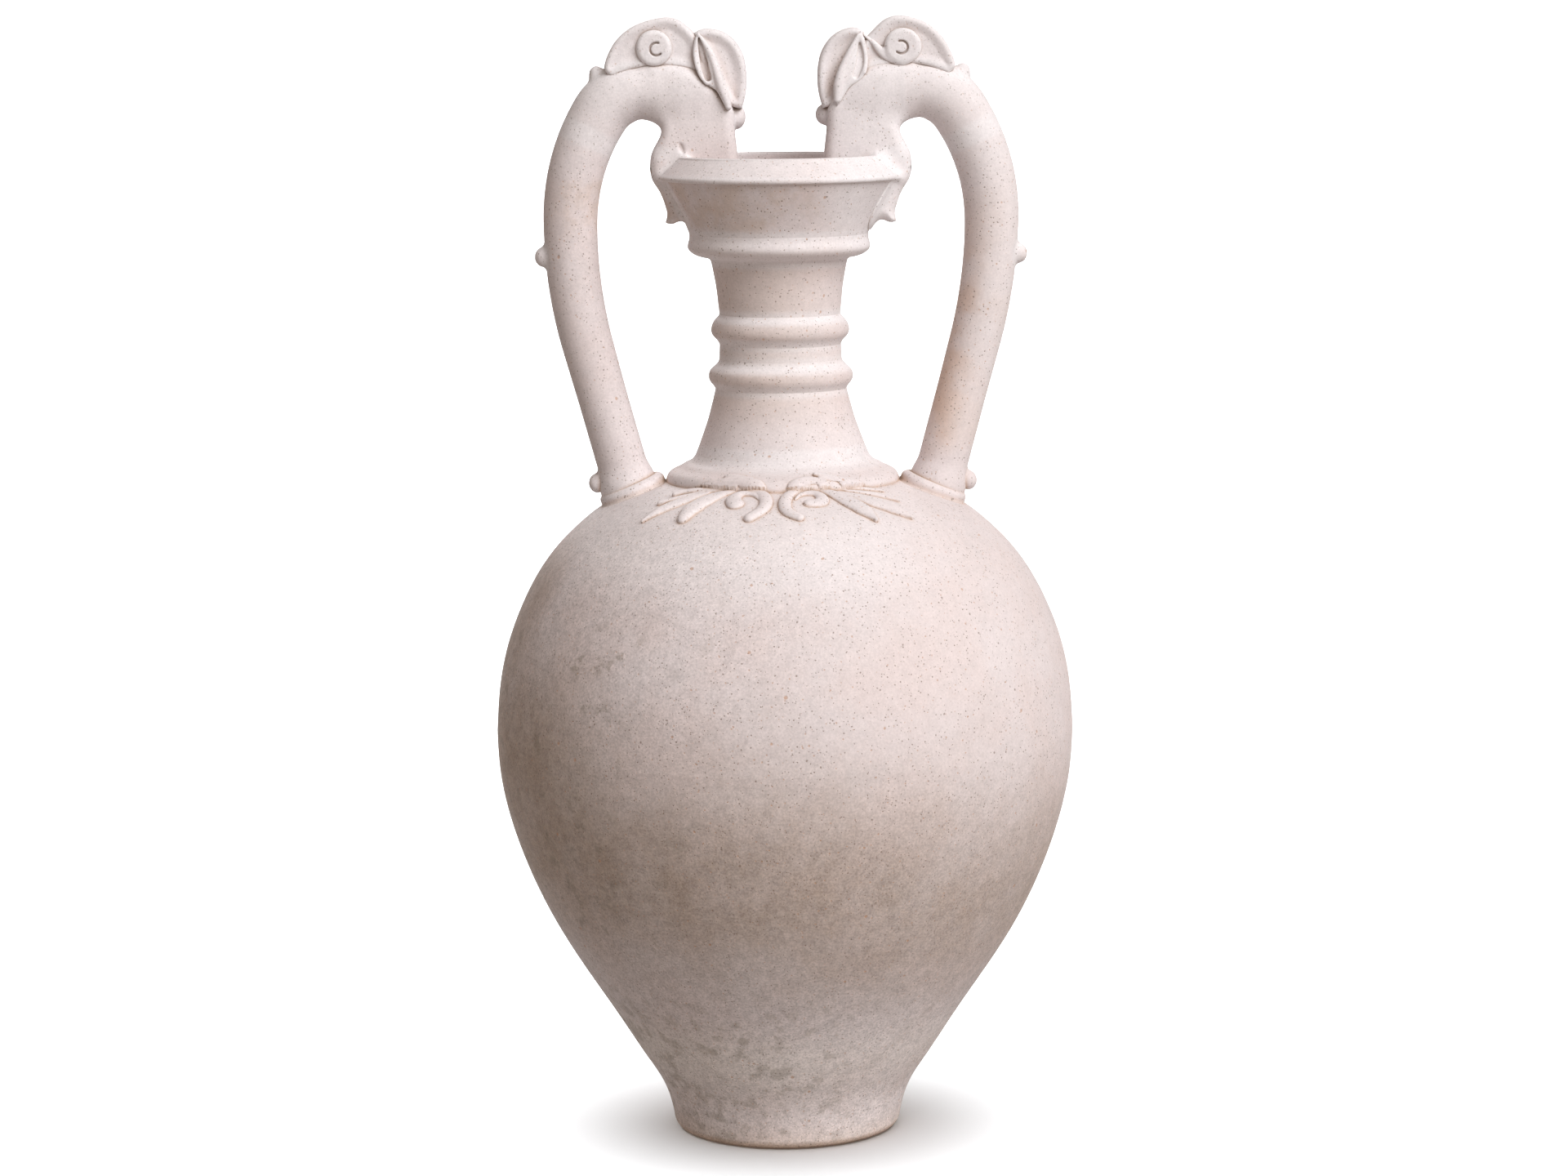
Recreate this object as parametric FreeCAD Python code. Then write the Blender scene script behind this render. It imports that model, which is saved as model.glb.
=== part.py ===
import FreeCAD, Part
import math
import os

# Two-handled amphora in white-bodied ceramic, with dragon-headed handles.
# Millimetres, +Z up, origin at the centre of the foot's underside, handles along X, front towards -Y.

V = FreeCAD.Vector
UP = V(0, 0, 1)
ORIGIN = V(0, 0, 0)

# ---- driving dimensions -------------------------------------------------------------------------
HEIGHT = 450.0                 # foot to the top of the dragons' crests
WALL = 7.0                     # thickness of the thrown body
FOOT_RADIUS = 46.4             # outer radius just above the rounded foot
FOOT_EDGE = 4.5                # rounding of the foot's outer corner
FLOOR = 14.0                   # thickness of the bottom
FLOOR_CORNER = (3.0, 14.0, 6.0)      # the floor's rounded edge: inset of its top and bottom, and its rise
HOLLOW_NECK = (6.0, 8.5)       # where the hollow turns up into the bore: out from it, and below its end
BELLY_RADIUS = 116.6           # widest radius of the body
BELLY_HEIGHT = 165.0           # height of the widest place, where the two halves are luted
SHOULDER_TOP = 266.0           # where the shoulder meets the neck's base ring
BASE_RING_RADIUS = 45.8        # bead round the foot of the neck
BASE_RING_SEAT = 264.5
BASE_RING_TOP = 275.5
HIDDEN_RADIUS = 30.0           # the base ring and the sprays start inside the neck, and are cut to it
NECK_WAIST = 24.5              # smallest outer radius of the neck
NECK_TOP = 356.0
BORE_RADIUS = 17.0             # passage through the neck
LOWER_BAND = (308.4, 28.9, 4.6)      # height, radius and half height of the neck's lower ridge
UPPER_BAND = (327.4, 27.8, 4.6)
MOUTH_BAND = (359.6, 36.7, 3.4)
BAND_ROOT = 8.0                # depth of a ridge, most of it hidden in the neck
BAND_CROWN = 2.6               # height of a ridge's rounded front
LIP_RADIUS = 48.9              # outer corner of the lip
LIP_CORNER = 387.8
LIP_EDGE = (0.9, 1.0)          # the small flat under the corner, across and down
RIM_RADIUS = 39.2              # inner edge of the lip
RIM_TOP = 396.3
RIM_ROUNDING = (1.6, 0.4, 0.5)       # the rim's rounding: outer reach, crest, drop

BAR_RADIUS = 10.9              # round handle bar
BAR_FOOT = (61.9, 262.0)       # where the bar's centre line leaves the shoulder
BAR_LEAN = 15.2                # outward lean of the bar's straight stretch, degrees
BAR_STRAIGHT = 61.0
BAR_BENDS = ((165.0, 15.2), (105.0, 22.0))   # radius and turn of the two bends above it
COLLAR_RADIUS = 14.0           # cuff that seats the bar on the shoulder
COLLAR_DEPTH = 4.2
COLLAR_LEAN = 22.0
COLLAR_ROOT = 6.0              # the part of the cuff that is cut away where it meets the shoulder
COLLAR_SEAT = (60.4, 261.2)    # where the cuff's axis meets the shoulder

HEAD_DEPTH = 22.0              # thickness of the head, front to back
JAW_DEPTH = 19.0
CREST_DEPTH = 15.0
BROW_DEPTH = 17.0
EYE_CENTRE = (49.0, 437.9)
EYE_RADIUS = 7.1
EYE_RELIEF = 2.6
EAR_RELIEF = 4.0
PELLET_RADIUS = 3.0
BOSS_RADIUS = 3.4

SPRAY_RELIEF = 1.6             # height of the leaf sprays above the shoulder
SPRAY_FLOOR = 232.0            # the sprays lie above this height,
SPRAY_REACH = 50.0             # and below this much more

# ---- outlines, as (radius or x, z) --------------------------------------------------------------
BELLY_CURVE = (
    (FOOT_RADIUS, FOOT_EDGE), (49.2, 15.0), (57.6, 30.0), (83.8, 70.0), (100.7, 100.0), (111.8, 130.0),
    (BELLY_RADIUS, BELLY_HEIGHT),
)
SHOULDER_CURVE = (
    (BELLY_RADIUS, BELLY_HEIGHT), (112.0, 200.0), (101.5, 225.0), (90.3, 240.0), (77.0, 252.3),
    (60.0, 261.2), (45.0, SHOULDER_TOP),
)
NECK_CURVE = (
    (41.0, SHOULDER_TOP), (35.4, BASE_RING_TOP), (31.6, 284.6), (28.3, 295.2), (26.4, 305.0),
    (NECK_WAIST, 317.0), (24.4, 330.0), (25.2, 341.2), (27.0, 351.7), (28.6, NECK_TOP),
)
RING_CURVE = ((BASE_RING_RADIUS, BASE_RING_SEAT), (45.6, 268.6), (42.6, 272.0), (37.6, 273.2), (33.6, 276.0))
CUP_CURVE = ((29.0, NECK_TOP), (34.6, 360.5), (35.9, 364.7), (38.2, 370.0), (46.4, 386.4))
CUP_INSIDE = ((BORE_RADIUS, NECK_TOP), (20.5, 362.0), (27.5, 368.5), (36.4, 386.0), (38.4, 393.6))

HEAD_BACK = ((82.6, 415.4), (77.7, 421.6), (70.5, 427.0))
CREST_SEAT = (
    (70.5, 427.0), (63.4, 429.6), (54.2, 431.6), (42.6, 430.5), (32.2, 427.6), (24.0, 420.6),
    (18.9, 414.7),
)
SNOUT = ((18.9, 414.7), (16.4, 411.0), (16.3, 404.0), (16.4, 384.0))
SNOUT_TIP = ((16.4, 384.0), (21.0, 379.6), (29.0, 381.0))
GUM = ((29.0, 381.0), (33.6, 388.0), (34.2, 397.0))
CHEEK = ((50.6, 397.0), (48.6, 404.0))
THROAT = ((48.6, 404.0), (48.2, 408.4), (52.4, 410.6), (58.2, 408.2))
JAW_OUTSIDE = ((50.6, 397.0), (51.9, 389.0), (49.6, 382.9), (46.4, 378.0), (46.4, 370.0))
JAW_CHIN = ((46.4, 370.0), (42.0, 370.8), (36.0, 372.6))
JAW_INSIDE_TOP = (43.0, 397.0)
CREST_BACK = ((70.5, 427.0), (67.6, 434.5), (56.1, 447.0), (43.5, HEIGHT), (34.6, 447.6), (31.8, 444.4))
EAR_LINE = ((31.8, 444.4), (31.0, 436.0), (31.8, 425.0))
CREST_ROOT = (50.0, 420.0)
BROW_ROOT = (31.0, 417.0)
BROW_BACK = (
    (31.8, 444.4), (25.3, 445.2), (17.2, 440.6), (13.2, 430.0), (13.6, 419.6), (18.9, 414.7),
)
EAR_OUTSIDE = ((31.2, 444.6), (33.6, 432.0), (28.0, 422.4), (21.0, 417.8))
EAR_INSIDE = ((21.0, 417.8), (22.2, 430.0), (31.2, 444.6))
NOSE_PLACE = (15.6, 411.6)
BOSS_PLACES = {"crest_boss": (72.6, 428.8), "handle_boss": (93.6, 355.3), "foot_boss": (74.0, 265.0)}

# Strokes of the leaf sprays in plan: the centre line's points, and half widths at start, middle and end.
SPRAY_LEFT = (
    (((-24.0, -40.0), (-14.0, -43.0), (-9.0, -53.0), (-13.6, -68.0)), (1.6, 3.2, 2.4)),
    (((-12.4, -50.0), (-16.5, -45.8), (-20.5, -50.0), (-20.0, -57.0)), (1.4, 2.0, 3.2)),
    (((-20.0, -43.0), (-29.0, -42.5), (-36.0, -50.0), (-40.0, -61.4)), (2.0, 5.2, 2.0)),
    (((-27.0, -41.0), (-39.4, -42.5), (-49.0, -46.5), (-55.0, -49.4)), (1.8, 3.0, 1.0)),
    (((-33.0, -38.5), (-41.0, -39.0), (-48.6, -38.6)), (1.6, 1.9, 1.0)),
    (((-22.0, -40.4), (-34.7, -33.6), (-43.0, -33.8)), (1.6, 1.8, 1.4)),
)
SPRAY_RIGHT = (
    (((22.0, -43.0), (10.0, -45.0), (2.6, -54.0), (5.6, -68.3)), (1.6, 3.2, 2.4)),
    (((7.4, -55.0), (9.6, -49.4), (14.6, -50.4), (17.0, -57.4)), (1.4, 1.8, 2.8)),
    (((14.0, -44.6), (24.0, -49.0), (31.0, -56.0), (35.6, -62.0)), (2.0, 4.6, 1.6)),
    (((27.0, -44.0), (37.0, -51.0), (43.8, -52.8), (50.0, -52.6)), (1.8, 2.8, 1.0)),
    (((24.0, -44.0), (35.2, -40.0), (45.0, -40.1)), (1.6, 1.9, 1.0)),
    (((18.0, -43.0), (28.0, -36.0), (38.0, -33.3)), (1.6, 1.8, 1.2)),
)
STROKE_STEPS = 8


# ---- shape tools --------------------------------------------------------------------------------
def at(point, y=0.0):
    """A point of an outline, as a vector in the XZ plane."""
    return V(point[0], y, point[1])


def curve(points):
    """A smooth curve through points of an outline."""
    spline = Part.BSplineCurve()
    spline.interpolate([at(p) for p in points])
    return spline.toShape()


def line(start, end):
    return Part.makeLine(at(start), at(end))


def face_of(edges):
    return Part.Face(Part.Wire(edges))


def turned(edges):
    """The solid made by turning a closed outline round the Z axis."""
    return face_of(edges).revolve(ORIGIN, UP, 360)


def slab(edges, depth):
    """A closed outline given a thickness, centred on Y = 0."""
    face = face_of(edges)
    face.translate(V(0, depth / 2, 0))
    return face.extrude(V(0, -depth, 0))


def chain(*outlines):
    """Edges of an outline: a list of two points is straight, a longer one is a smooth curve."""
    return [line(*points) if len(points) == 2 else curve(points) for points in outlines]


def inward(points, wall):
    """An outline moved towards the axis by the wall's thickness."""
    return tuple((r - wall, z) for r, z in points)


def bead(centre_z, radius, half_height, core):
    """A half-round ridge that goes round a core, cut to seat on it."""
    root = radius - BAND_ROOT
    low = (root, centre_z - half_height)
    high = (root, centre_z + half_height)
    shoulder = radius - BAND_CROWN
    crown = curve((
        (shoulder, centre_z - half_height), (radius, centre_z), (shoulder, centre_z + half_height),
    ))
    edges = [
        line(low, (shoulder, centre_z - half_height)),
        crown,
        line((shoulder, centre_z + half_height), high),
        line(high, low),
    ]
    return turned(edges).cut(core)


# ---- thrown body --------------------------------------------------------------------------------
def filled_body():
    """The body's outer shape without its hollow."""
    flat = FOOT_RADIUS - FOOT_EDGE
    diagonal = FOOT_EDGE * math.sqrt(0.5)
    rounding = Part.Arc(
        V(flat, 0, 0),
        V(flat + diagonal, 0, FOOT_EDGE - diagonal),
        V(FOOT_RADIUS, 0, FOOT_EDGE),
    ).toShape()
    return turned([
        line((0, 0), (flat, 0)),
        rounding,
        curve(BELLY_CURVE),
        curve(SHOULDER_CURVE),
        line(SHOULDER_CURVE[-1], (0, SHOULDER_TOP)),
        line((0, SHOULDER_TOP), (0, 0)),
    ])


def body_hollow():
    """The space inside the body, up to the top of the shoulder."""
    low = inward(BELLY_CURVE[2:], WALL)
    high = inward(SHOULDER_CURVE[:-2], WALL)
    neck_end = (BORE_RADIUS + HOLLOW_NECK[0], SHOULDER_TOP - HOLLOW_NECK[1])
    fillet_end = (low[0][0] - FLOOR_CORNER[0], FLOOR + FLOOR_CORNER[2])
    floor_edge = (low[0][0] - FLOOR_CORNER[1], FLOOR)
    return turned([
        line((0, FLOOR), floor_edge),
        curve((floor_edge, fillet_end) + low),
        curve(high + (neck_end, (BORE_RADIUS, SHOULDER_TOP))),
        line((BORE_RADIUS, SHOULDER_TOP), (0, SHOULDER_TOP)),
        line((0, SHOULDER_TOP), (0, FLOOR)),
    ])


def body_halves(filled):
    """The bowl-shaped lower half with its foot, and the domed upper half."""
    shell = filled.cut(body_hollow())
    reach = 2 * BELLY_RADIUS
    below = Part.makeBox(2 * reach, 2 * reach, 2 * BELLY_HEIGHT, V(-reach, -reach, -BELLY_HEIGHT))
    return shell.common(below), shell.cut(below)


# ---- neck and mouth -----------------------------------------------------------------------------
def filled_neck():
    return turned([
        line((0, SHOULDER_TOP), NECK_CURVE[0]),
        curve(NECK_CURVE),
        line(NECK_CURVE[-1], (0, NECK_TOP)),
        line((0, NECK_TOP), (0, SHOULDER_TOP)),
    ])


def neck_base_ring(neck, body):
    """Rounded bead that covers the join of neck and shoulder."""
    low = (HIDDEN_RADIUS, BASE_RING_SEAT)
    high = (HIDDEN_RADIUS, RING_CURVE[-1][1])
    edges = chain((low, RING_CURVE[0]), RING_CURVE, (RING_CURVE[-1], high), (high, low))
    return turned(edges).cut(neck).cut(body)


def filled_cup():
    """The cup-shaped mouth and its bevelled lip, without its hollow."""
    corner = (LIP_RADIUS, LIP_CORNER)
    under_corner = (LIP_RADIUS - LIP_EDGE[0], LIP_CORNER - LIP_EDGE[1])
    bevel_end = (RIM_RADIUS + RIM_ROUNDING[0], RIM_TOP - RIM_ROUNDING[2])
    rim = (RIM_RADIUS + RIM_ROUNDING[1], RIM_TOP)
    top = (0, CUP_INSIDE[-1][1])
    return turned([
        line((0, NECK_TOP), CUP_CURVE[0]),
        curve(CUP_CURVE),
        line(CUP_CURVE[-1], under_corner),
        line(under_corner, corner),
        line(corner, bevel_end),
        curve((bevel_end, rim, CUP_INSIDE[-1])),
        line(CUP_INSIDE[-1], top),
        line(top, (0, NECK_TOP)),
    ])


def cup_hollow():
    top = CUP_INSIDE[-1][1]
    return turned([
        line((0, NECK_TOP), CUP_INSIDE[0]),
        curve(CUP_INSIDE),
        line(CUP_INSIDE[-1], (0, top)),
        line((0, top), (0, NECK_TOP)),
    ])


# ---- handles, modelled on the +X side -----------------------------------------------------------
def bar_path():
    """The bar's centre line, a straight stretch and two bends, and its end point and last lean."""
    x, z = BAR_FOOT
    lean = math.radians(BAR_LEAN)
    end_x = x + BAR_STRAIGHT * math.sin(lean)
    end_z = z + BAR_STRAIGHT * math.cos(lean)
    edges = [line((x, z), (end_x, end_z))]
    for radius, turn in BAR_BENDS:
        x, z = end_x, end_z
        places = []
        for part in (0.5, 1.0):
            now = lean - part * math.radians(turn)
            places.append((
                x + radius * (math.cos(now) - math.cos(lean)),
                z + radius * (math.sin(lean) - math.sin(now)),
            ))
        edges.append(Part.Arc(at((x, z)), at(places[0]), at(places[1])).toShape())
        end_x, end_z = places[1]
        lean -= math.radians(turn)
    return Part.Wire(edges), (end_x, end_z), lean


def leaning(degrees):
    """A direction that leans outwards from the vertical."""
    return V(math.sin(math.radians(degrees)), 0, math.cos(math.radians(degrees)))


def collar(support):
    """The cuff, which stands a little proud of the shoulder under the bar."""
    axis = leaning(COLLAR_LEAN)
    root = at(COLLAR_SEAT) - axis * COLLAR_ROOT
    return Part.makeCylinder(COLLAR_RADIUS, COLLAR_DEPTH + COLLAR_ROOT, root, axis).cut(support)


def handle_bar(body, cuff):
    section = Part.Wire(Part.makeCircle(BAR_RADIUS, at(BAR_FOOT), leaning(BAR_LEAN)))
    path = bar_path()[0]
    bar = path.makePipeShell([section], True, False).cut(body).cut(cuff)
    return max(bar.Solids, key=lambda solid: solid.Volume)


def dragon_head(cup):
    """Skull, cheek and upper jaw; the upper jaw hangs inside the mouth's lip."""
    (end_x, end_z), lean = bar_path()[1:]
    across = (BAR_RADIUS * math.cos(lean), -BAR_RADIUS * math.sin(lean))
    inner = (end_x - across[0], end_z - across[1])
    outer = (end_x + across[0], end_z + across[1])
    edges = chain(
        (outer,) + HEAD_BACK, CREST_SEAT, SNOUT, SNOUT_TIP, GUM,
        (GUM[-1], CHEEK[0]), CHEEK, THROAT + (inner,), (inner, outer),
    )
    return slab(edges, HEAD_DEPTH).cut(cup)


def dragon_jaw(cup):
    """The lower jaw, which grips the outside of the lip and ends in a pointed chin."""
    edges = chain(
        JAW_OUTSIDE, JAW_CHIN, (JAW_CHIN[-1], JAW_INSIDE_TOP), (JAW_INSIDE_TOP, JAW_OUTSIDE[0]),
    )
    return slab(edges, JAW_DEPTH).cut(cup)


def dragon_crest(head):
    """The flat crest, cut to seat on the skull."""
    back, front = CREST_BACK[0], EAR_LINE[-1]
    edges = chain(CREST_BACK, EAR_LINE, (front, CREST_ROOT), (CREST_ROOT, back))
    return slab(edges, CREST_DEPTH).cut(head)


def dragon_brow(head, crest):
    """The shell-shaped lobe in front of the ears."""
    edges = chain(BROW_BACK, (BROW_BACK[-1], BROW_ROOT), (BROW_ROOT, BROW_BACK[0]))
    return slab(edges, BROW_DEPTH).cut(head).cut(crest)


def face_relief(edges, inner_y, relief, side):
    """Low relief on one face of the head; side is -1 for the front and +1 for the back."""
    face = face_of(edges)
    face.translate(V(0, side * inner_y, 0))
    return face.extrude(V(0, side * relief, 0))


def eye_spiral(side, neighbours):
    root = V(EYE_CENTRE[0], side * CREST_DEPTH / 2, EYE_CENTRE[1])
    return Part.makeCylinder(EYE_RADIUS, EYE_RELIEF, root, V(0, side, 0)).cut(neighbours)


def ear(side, neighbours):
    relief = face_relief(chain(EAR_OUTSIDE, EAR_INSIDE), CREST_DEPTH / 2, EAR_RELIEF, side)
    return relief.cut(neighbours)


def pellet(place, radius, neighbours):
    return Part.makeSphere(radius, at(place)).cut(neighbours)


# ---- leaf sprays, modelled on the front ---------------------------------------------------------
def stroke(points, widths):
    """A leaf-shaped face in plan, built about its centre line."""
    spline = Part.BSplineCurve()
    spline.interpolate([V(x, y, 0) for x, y in points])
    first, last = spline.FirstParameter, spline.LastParameter
    sides = ([], [])
    for step in range(STROKE_STEPS + 1):
        part = step / STROKE_STEPS
        where = first + part * (last - first)
        along = spline.tangent(where)[0]
        across = V(-along.y, along.x, 0)
        start, middle, end = widths
        ends = start + part * (end - start)
        half = ends + (middle - (start + end) / 2) * math.sin(math.pi * part)
        sides[0].append(spline.value(where) + across * half)
        sides[1].append(spline.value(where) - across * half)
    edges = []
    for side in (sides[0], list(reversed(sides[1]))):
        edge = Part.BSplineCurve()
        edge.interpolate(side)
        edges.append(edge.toShape())
    tips = [
        Part.makeLine(sides[0][-1], sides[1][-1]),
        Part.makeLine(sides[1][0], sides[0][0]),
    ]
    return Part.Face(Part.Wire([edges[0], tips[0], edges[1], tips[1]]))


def relief_shell(body, ring, neck):
    """The thin layer over the shoulder that the sprays are cut from."""
    raised = tuple((r, z + SPRAY_RELIEF) for r, z in SHOULDER_CURVE)
    low = (HIDDEN_RADIUS, raised[0][1])
    high = (HIDDEN_RADIUS, raised[-1][1])
    cover = turned([curve(raised), line(raised[-1], high), line(high, low), line(low, raised[0])])
    return cover.cut(body).cut(ring).cut(neck)


def spray(strokes, shell):
    leaves = []
    for entry in strokes:
        outline = stroke(*entry)
        outline.translate(V(0, 0, SPRAY_FLOOR))
        leaves.append(outline.extrude(V(0, 0, SPRAY_REACH)).common(shell))
    return leaves[0].fuse(leaves[1:]).removeSplitter()


# ---- assembly -----------------------------------------------------------------------------------
def build():
    parts = {}
    body = filled_body()
    neck = filled_neck()
    cup = filled_cup()
    parts["body_lower"], parts["body_upper"] = body_halves(body)
    bore = Part.makeCylinder(BORE_RADIUS, NECK_TOP - SHOULDER_TOP, V(0, 0, SHOULDER_TOP))
    parts["neck"] = neck.cut(bore)
    parts["neck_base_ring"] = neck_base_ring(neck, body)
    parts["neck_ring_lower"] = bead(*LOWER_BAND, neck)
    parts["neck_ring_upper"] = bead(*UPPER_BAND, neck)
    parts["mouth_cup"] = cup.cut(cup_hollow())
    parts["mouth_ring"] = bead(*MOUTH_BAND, cup.fuse(neck))

    handle = {}
    handle["handle_collar"] = collar(body.fuse(neck).fuse(parts["neck_base_ring"]))
    handle["handle_bar"] = handle_bar(body, handle["handle_collar"])
    handle["dragon_head"] = dragon_head(parts["mouth_cup"])
    handle["dragon_jaw"] = dragon_jaw(cup)
    handle["dragon_crest"] = dragon_crest(handle["dragon_head"])
    handle["dragon_brow"] = dragon_brow(handle["dragon_head"], handle["dragon_crest"])
    carved = handle["dragon_head"].fuse([handle["dragon_crest"], handle["dragon_brow"]])
    for side, name in ((-1, "front"), (1, "back")):
        handle["eye_spiral_" + name] = eye_spiral(side, carved)
        handle["ear_" + name] = ear(side, carved)
    handle["nose_pellet"] = pellet(NOSE_PLACE, PELLET_RADIUS, carved)
    support = carved.fuse([handle["handle_bar"], handle["handle_collar"], body])
    for name, place in BOSS_PLACES.items():
        handle[name] = pellet(place, BOSS_RADIUS, support)
    for name, shape in handle.items():
        parts[name + "_right"] = shape
        parts[name + "_left"] = shape.mirror(ORIGIN, V(1, 0, 0))

    shell = relief_shell(body, parts["neck_base_ring"], neck)
    for name, strokes in (("left", SPRAY_LEFT), ("right", SPRAY_RIGHT)):
        front = spray(strokes, shell)
        parts["spray_front_" + name] = front
        turned_round = front.copy()
        turned_round.rotate(ORIGIN, UP, 180)
        opposite = "right" if name == "left" else "left"
        parts["spray_back_" + opposite] = turned_round
    return parts


def export(parts):
    os.makedirs("parts", exist_ok=True)
    for name, shape in parts.items():
        solids = shape.Solids
        whole = solids[0] if len(solids) == 1 else Part.Compound(solids)
        whole.exportStep("parts/" + name + ".step")
        print(name, len(solids), round(shape.Volume), shape.isValid())


export(build())
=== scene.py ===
import math

import bpy
import numpy as np
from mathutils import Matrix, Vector


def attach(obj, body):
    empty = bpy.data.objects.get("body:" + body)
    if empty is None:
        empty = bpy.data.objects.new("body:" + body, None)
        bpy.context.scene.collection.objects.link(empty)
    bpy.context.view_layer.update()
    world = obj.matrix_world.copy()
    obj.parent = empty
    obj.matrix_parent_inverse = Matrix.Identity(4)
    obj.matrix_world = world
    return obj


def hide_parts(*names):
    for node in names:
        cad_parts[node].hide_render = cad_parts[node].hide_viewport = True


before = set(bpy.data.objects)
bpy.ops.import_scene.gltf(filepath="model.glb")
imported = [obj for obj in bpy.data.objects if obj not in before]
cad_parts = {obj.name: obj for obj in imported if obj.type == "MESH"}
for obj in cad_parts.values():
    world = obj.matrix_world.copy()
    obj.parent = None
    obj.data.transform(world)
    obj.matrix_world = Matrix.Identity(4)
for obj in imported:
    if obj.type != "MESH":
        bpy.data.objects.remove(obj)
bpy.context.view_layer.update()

# Two-handled amphora in matt white ware, its handles ending in dragon heads that bite the lip.
# Shapes are worked out in millimetres on the frame's own axes and become metres in the meshes.
# The handles are worked out on the +X side and mirrored for the other.

MM = 0.001

# ---- sizes: the main ones are those of the frame ----
WALL = 7.0
FLOOR_THICKNESS = 14.0
FOOT_RADIUS = 46.4
FOOT_EDGE = 4.5
BELLY_RADIUS = 116.6
SEAM_HEIGHT = 165.0
SHOULDER_TOP = 266.0
BORE_RADIUS = 17.0
NECK_TOP = 356.0

BAR_FOOT = (61.9, 262.0)
BAR_LEAN = 15.0
BAR_STRAIGHT = 61.0
BAR_BENDS = ((190.0, 15.0), (79.0, 33.0), (20.0, 57.0))
BAR_LENGTH_IN_HEAD = 20.0
BAR_RADII = (  # place along the bar, and its radius there
    (0.0, 10.0), (40.0, 10.0), (104.0, 10.7), (150.0, 11.5), (166.0, 11.9), (182.0, 11.3), (196.0, 9.6),
)
BAR_END = 146.0  # length of the bar below the head
BAR_LAP = 3.0  # the bar and the head run this far into each other
HANDLE_SHIFT = 1.1  # both handles stand this far to the right of the mouth at the top
CROWN_SHIFT = 1.3  # the crests and ears stand this much further to the right

HEAD_HALF = 10.8  # half thicknesses of the head, the crest and the brow
CREST_HALF = 8.4
BROW_HALF = 8.6

# ---- outlines on the head, as (x, z) ----
CHEEK_RUNS = (
    ((53.0, 419.0), (51.2, 413.8), (48.6, 409.8), (47.4, 406.2), (48.7, 402.4), (51.0, 398.1), (52.0, 392.7),
     (51.4, 387.8), (49.4, 384.0), (47.4, 380.2), (46.0, 376.0), (45.4, 373.0), (46.2, 369.8)),
    ((46.2, 369.8), (43.6, 369.2), (39.6, 370.6), (36.6, 370.0)),
    ((36.6, 370.0), (33.0, 380.0)),
    ((33.0, 380.0), (28.0, 379.0), (20.0, 380.0), (17.2, 386.0)),
    ((17.2, 386.0), (17.3, 396.5), (18.4, 408.2), (19.2, 415.6), (23.0, 421.2), (29.0, 425.6), (35.2, 429.2),
     (42.6, 431.2), (52.0, 431.8)),
    ((52.0, 431.8), (53.0, 419.0)),
)
CREST_RUNS = (
    ((66.6, 427.6), (69.4, 430.4), (68.7, 434.7), (65.2, 441.3), (58.0, 447.7), (51.8, 450.0),
     (45.2, 450.8), (41.0, 449.5), (38.3, 447.5), (35.8, 445.0), (31.0, 440.0)),
    ((31.0, 440.0), (26.0, 426.0)),
    ((26.0, 426.0), (29.0, 425.2), (33.0, 428.0), (38.0, 430.4), (43.6, 431.3), (51.0, 431.8),
     (57.0, 431.0), (62.8, 429.2), (66.6, 427.6)),
)
BROW_RUNS = (
    ((33.4, 444.6), (30.6, 446.1), (26.4, 445.9), (21.6, 443.6), (17.9, 439.6), (15.4, 433.8), (14.6, 427.0),
     (15.0, 420.8), (16.6, 414.6)),
    ((16.6, 414.6), (23.0, 416.0)),
    ((23.0, 416.0), (28.0, 425.0), (33.4, 444.6)),
)
EARS = {
    "left": {
        "runs": (
            ((33.4, 445.0), (35.0, 441.4), (35.2, 437.0), (34.2, 431.4), (32.2, 426.6), (29.6, 423.8)),
            ((29.6, 423.8), (26.8, 422.0), (24.2, 418.0), (21.6, 413.6)),
            ((21.6, 413.6), (21.8, 419.0), (23.4, 425.4), (25.2, 431.4), (28.0, 438.0), (33.4, 445.0)),
        ),
        "ridge": ((33.2, 443.6), (29.7, 438.5), (27.0, 432.0), (25.3, 425.5), (23.2, 419.4), (21.9, 415.6)),
        "back": ((33.8, 442.4), (34.7, 438.5), (34.0, 432.0), (31.9, 427.0), (30.2, 425.0)),
        "fold": ((33.2, 442.4), (32.3, 438.0), (31.1, 432.0), (29.8, 427.0)),
        "depth": 3.2,
        "proud": 2.6,
    },
    "right": {
        "runs": (
            ((31.0, 445.0), (32.6, 441.0), (33.3, 436.4), (33.3, 431.4), (32.2, 427.6), (29.8, 425.0),
             (26.6, 423.0), (23.6, 418.6), (21.2, 415.2)),
            ((21.2, 415.2), (20.2, 419.4), (20.8, 425.0), (22.8, 431.0), (26.0, 437.6), (31.0, 445.0)),
        ),
        "ridge": ((30.0, 443.4), (26.4, 436.2), (23.6, 430.2), (21.9, 424.6), (21.2, 418.0)),
        "back": ((30.8, 442.6), (32.2, 437.4), (32.6, 432.0), (32.0, 428.8)),
        "fold": ((30.4, 440.0), (30.6, 436.4), (30.2, 431.8), (28.8, 427.6)),
        "depth": 1.2,
        "proud": 2.0,
    },
}
BROW_REACH = {"left": 1.8, "right": 0.0}  # how much further the brow reaches over the crest
BROW_SHIFT = {"left": 1.3, "right": 0.2}
NOSE_PELLETS = {"left": ((17.6, 411.4), (3.7, 5.4, 5.0)), "right": ((18.0, 412.0), (4.1, 5.0, 4.3))}
EYE_CENTRE = (49.2, 438.8)
EYE_RADIUS = 7.2
EYE_SHIFT = -0.6
EYE_TAIL = ((49.0, 433.4), (44.8, 434.4), (41.0, 436.6), (37.9, 440.0), (34.2, 443.0))

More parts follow.
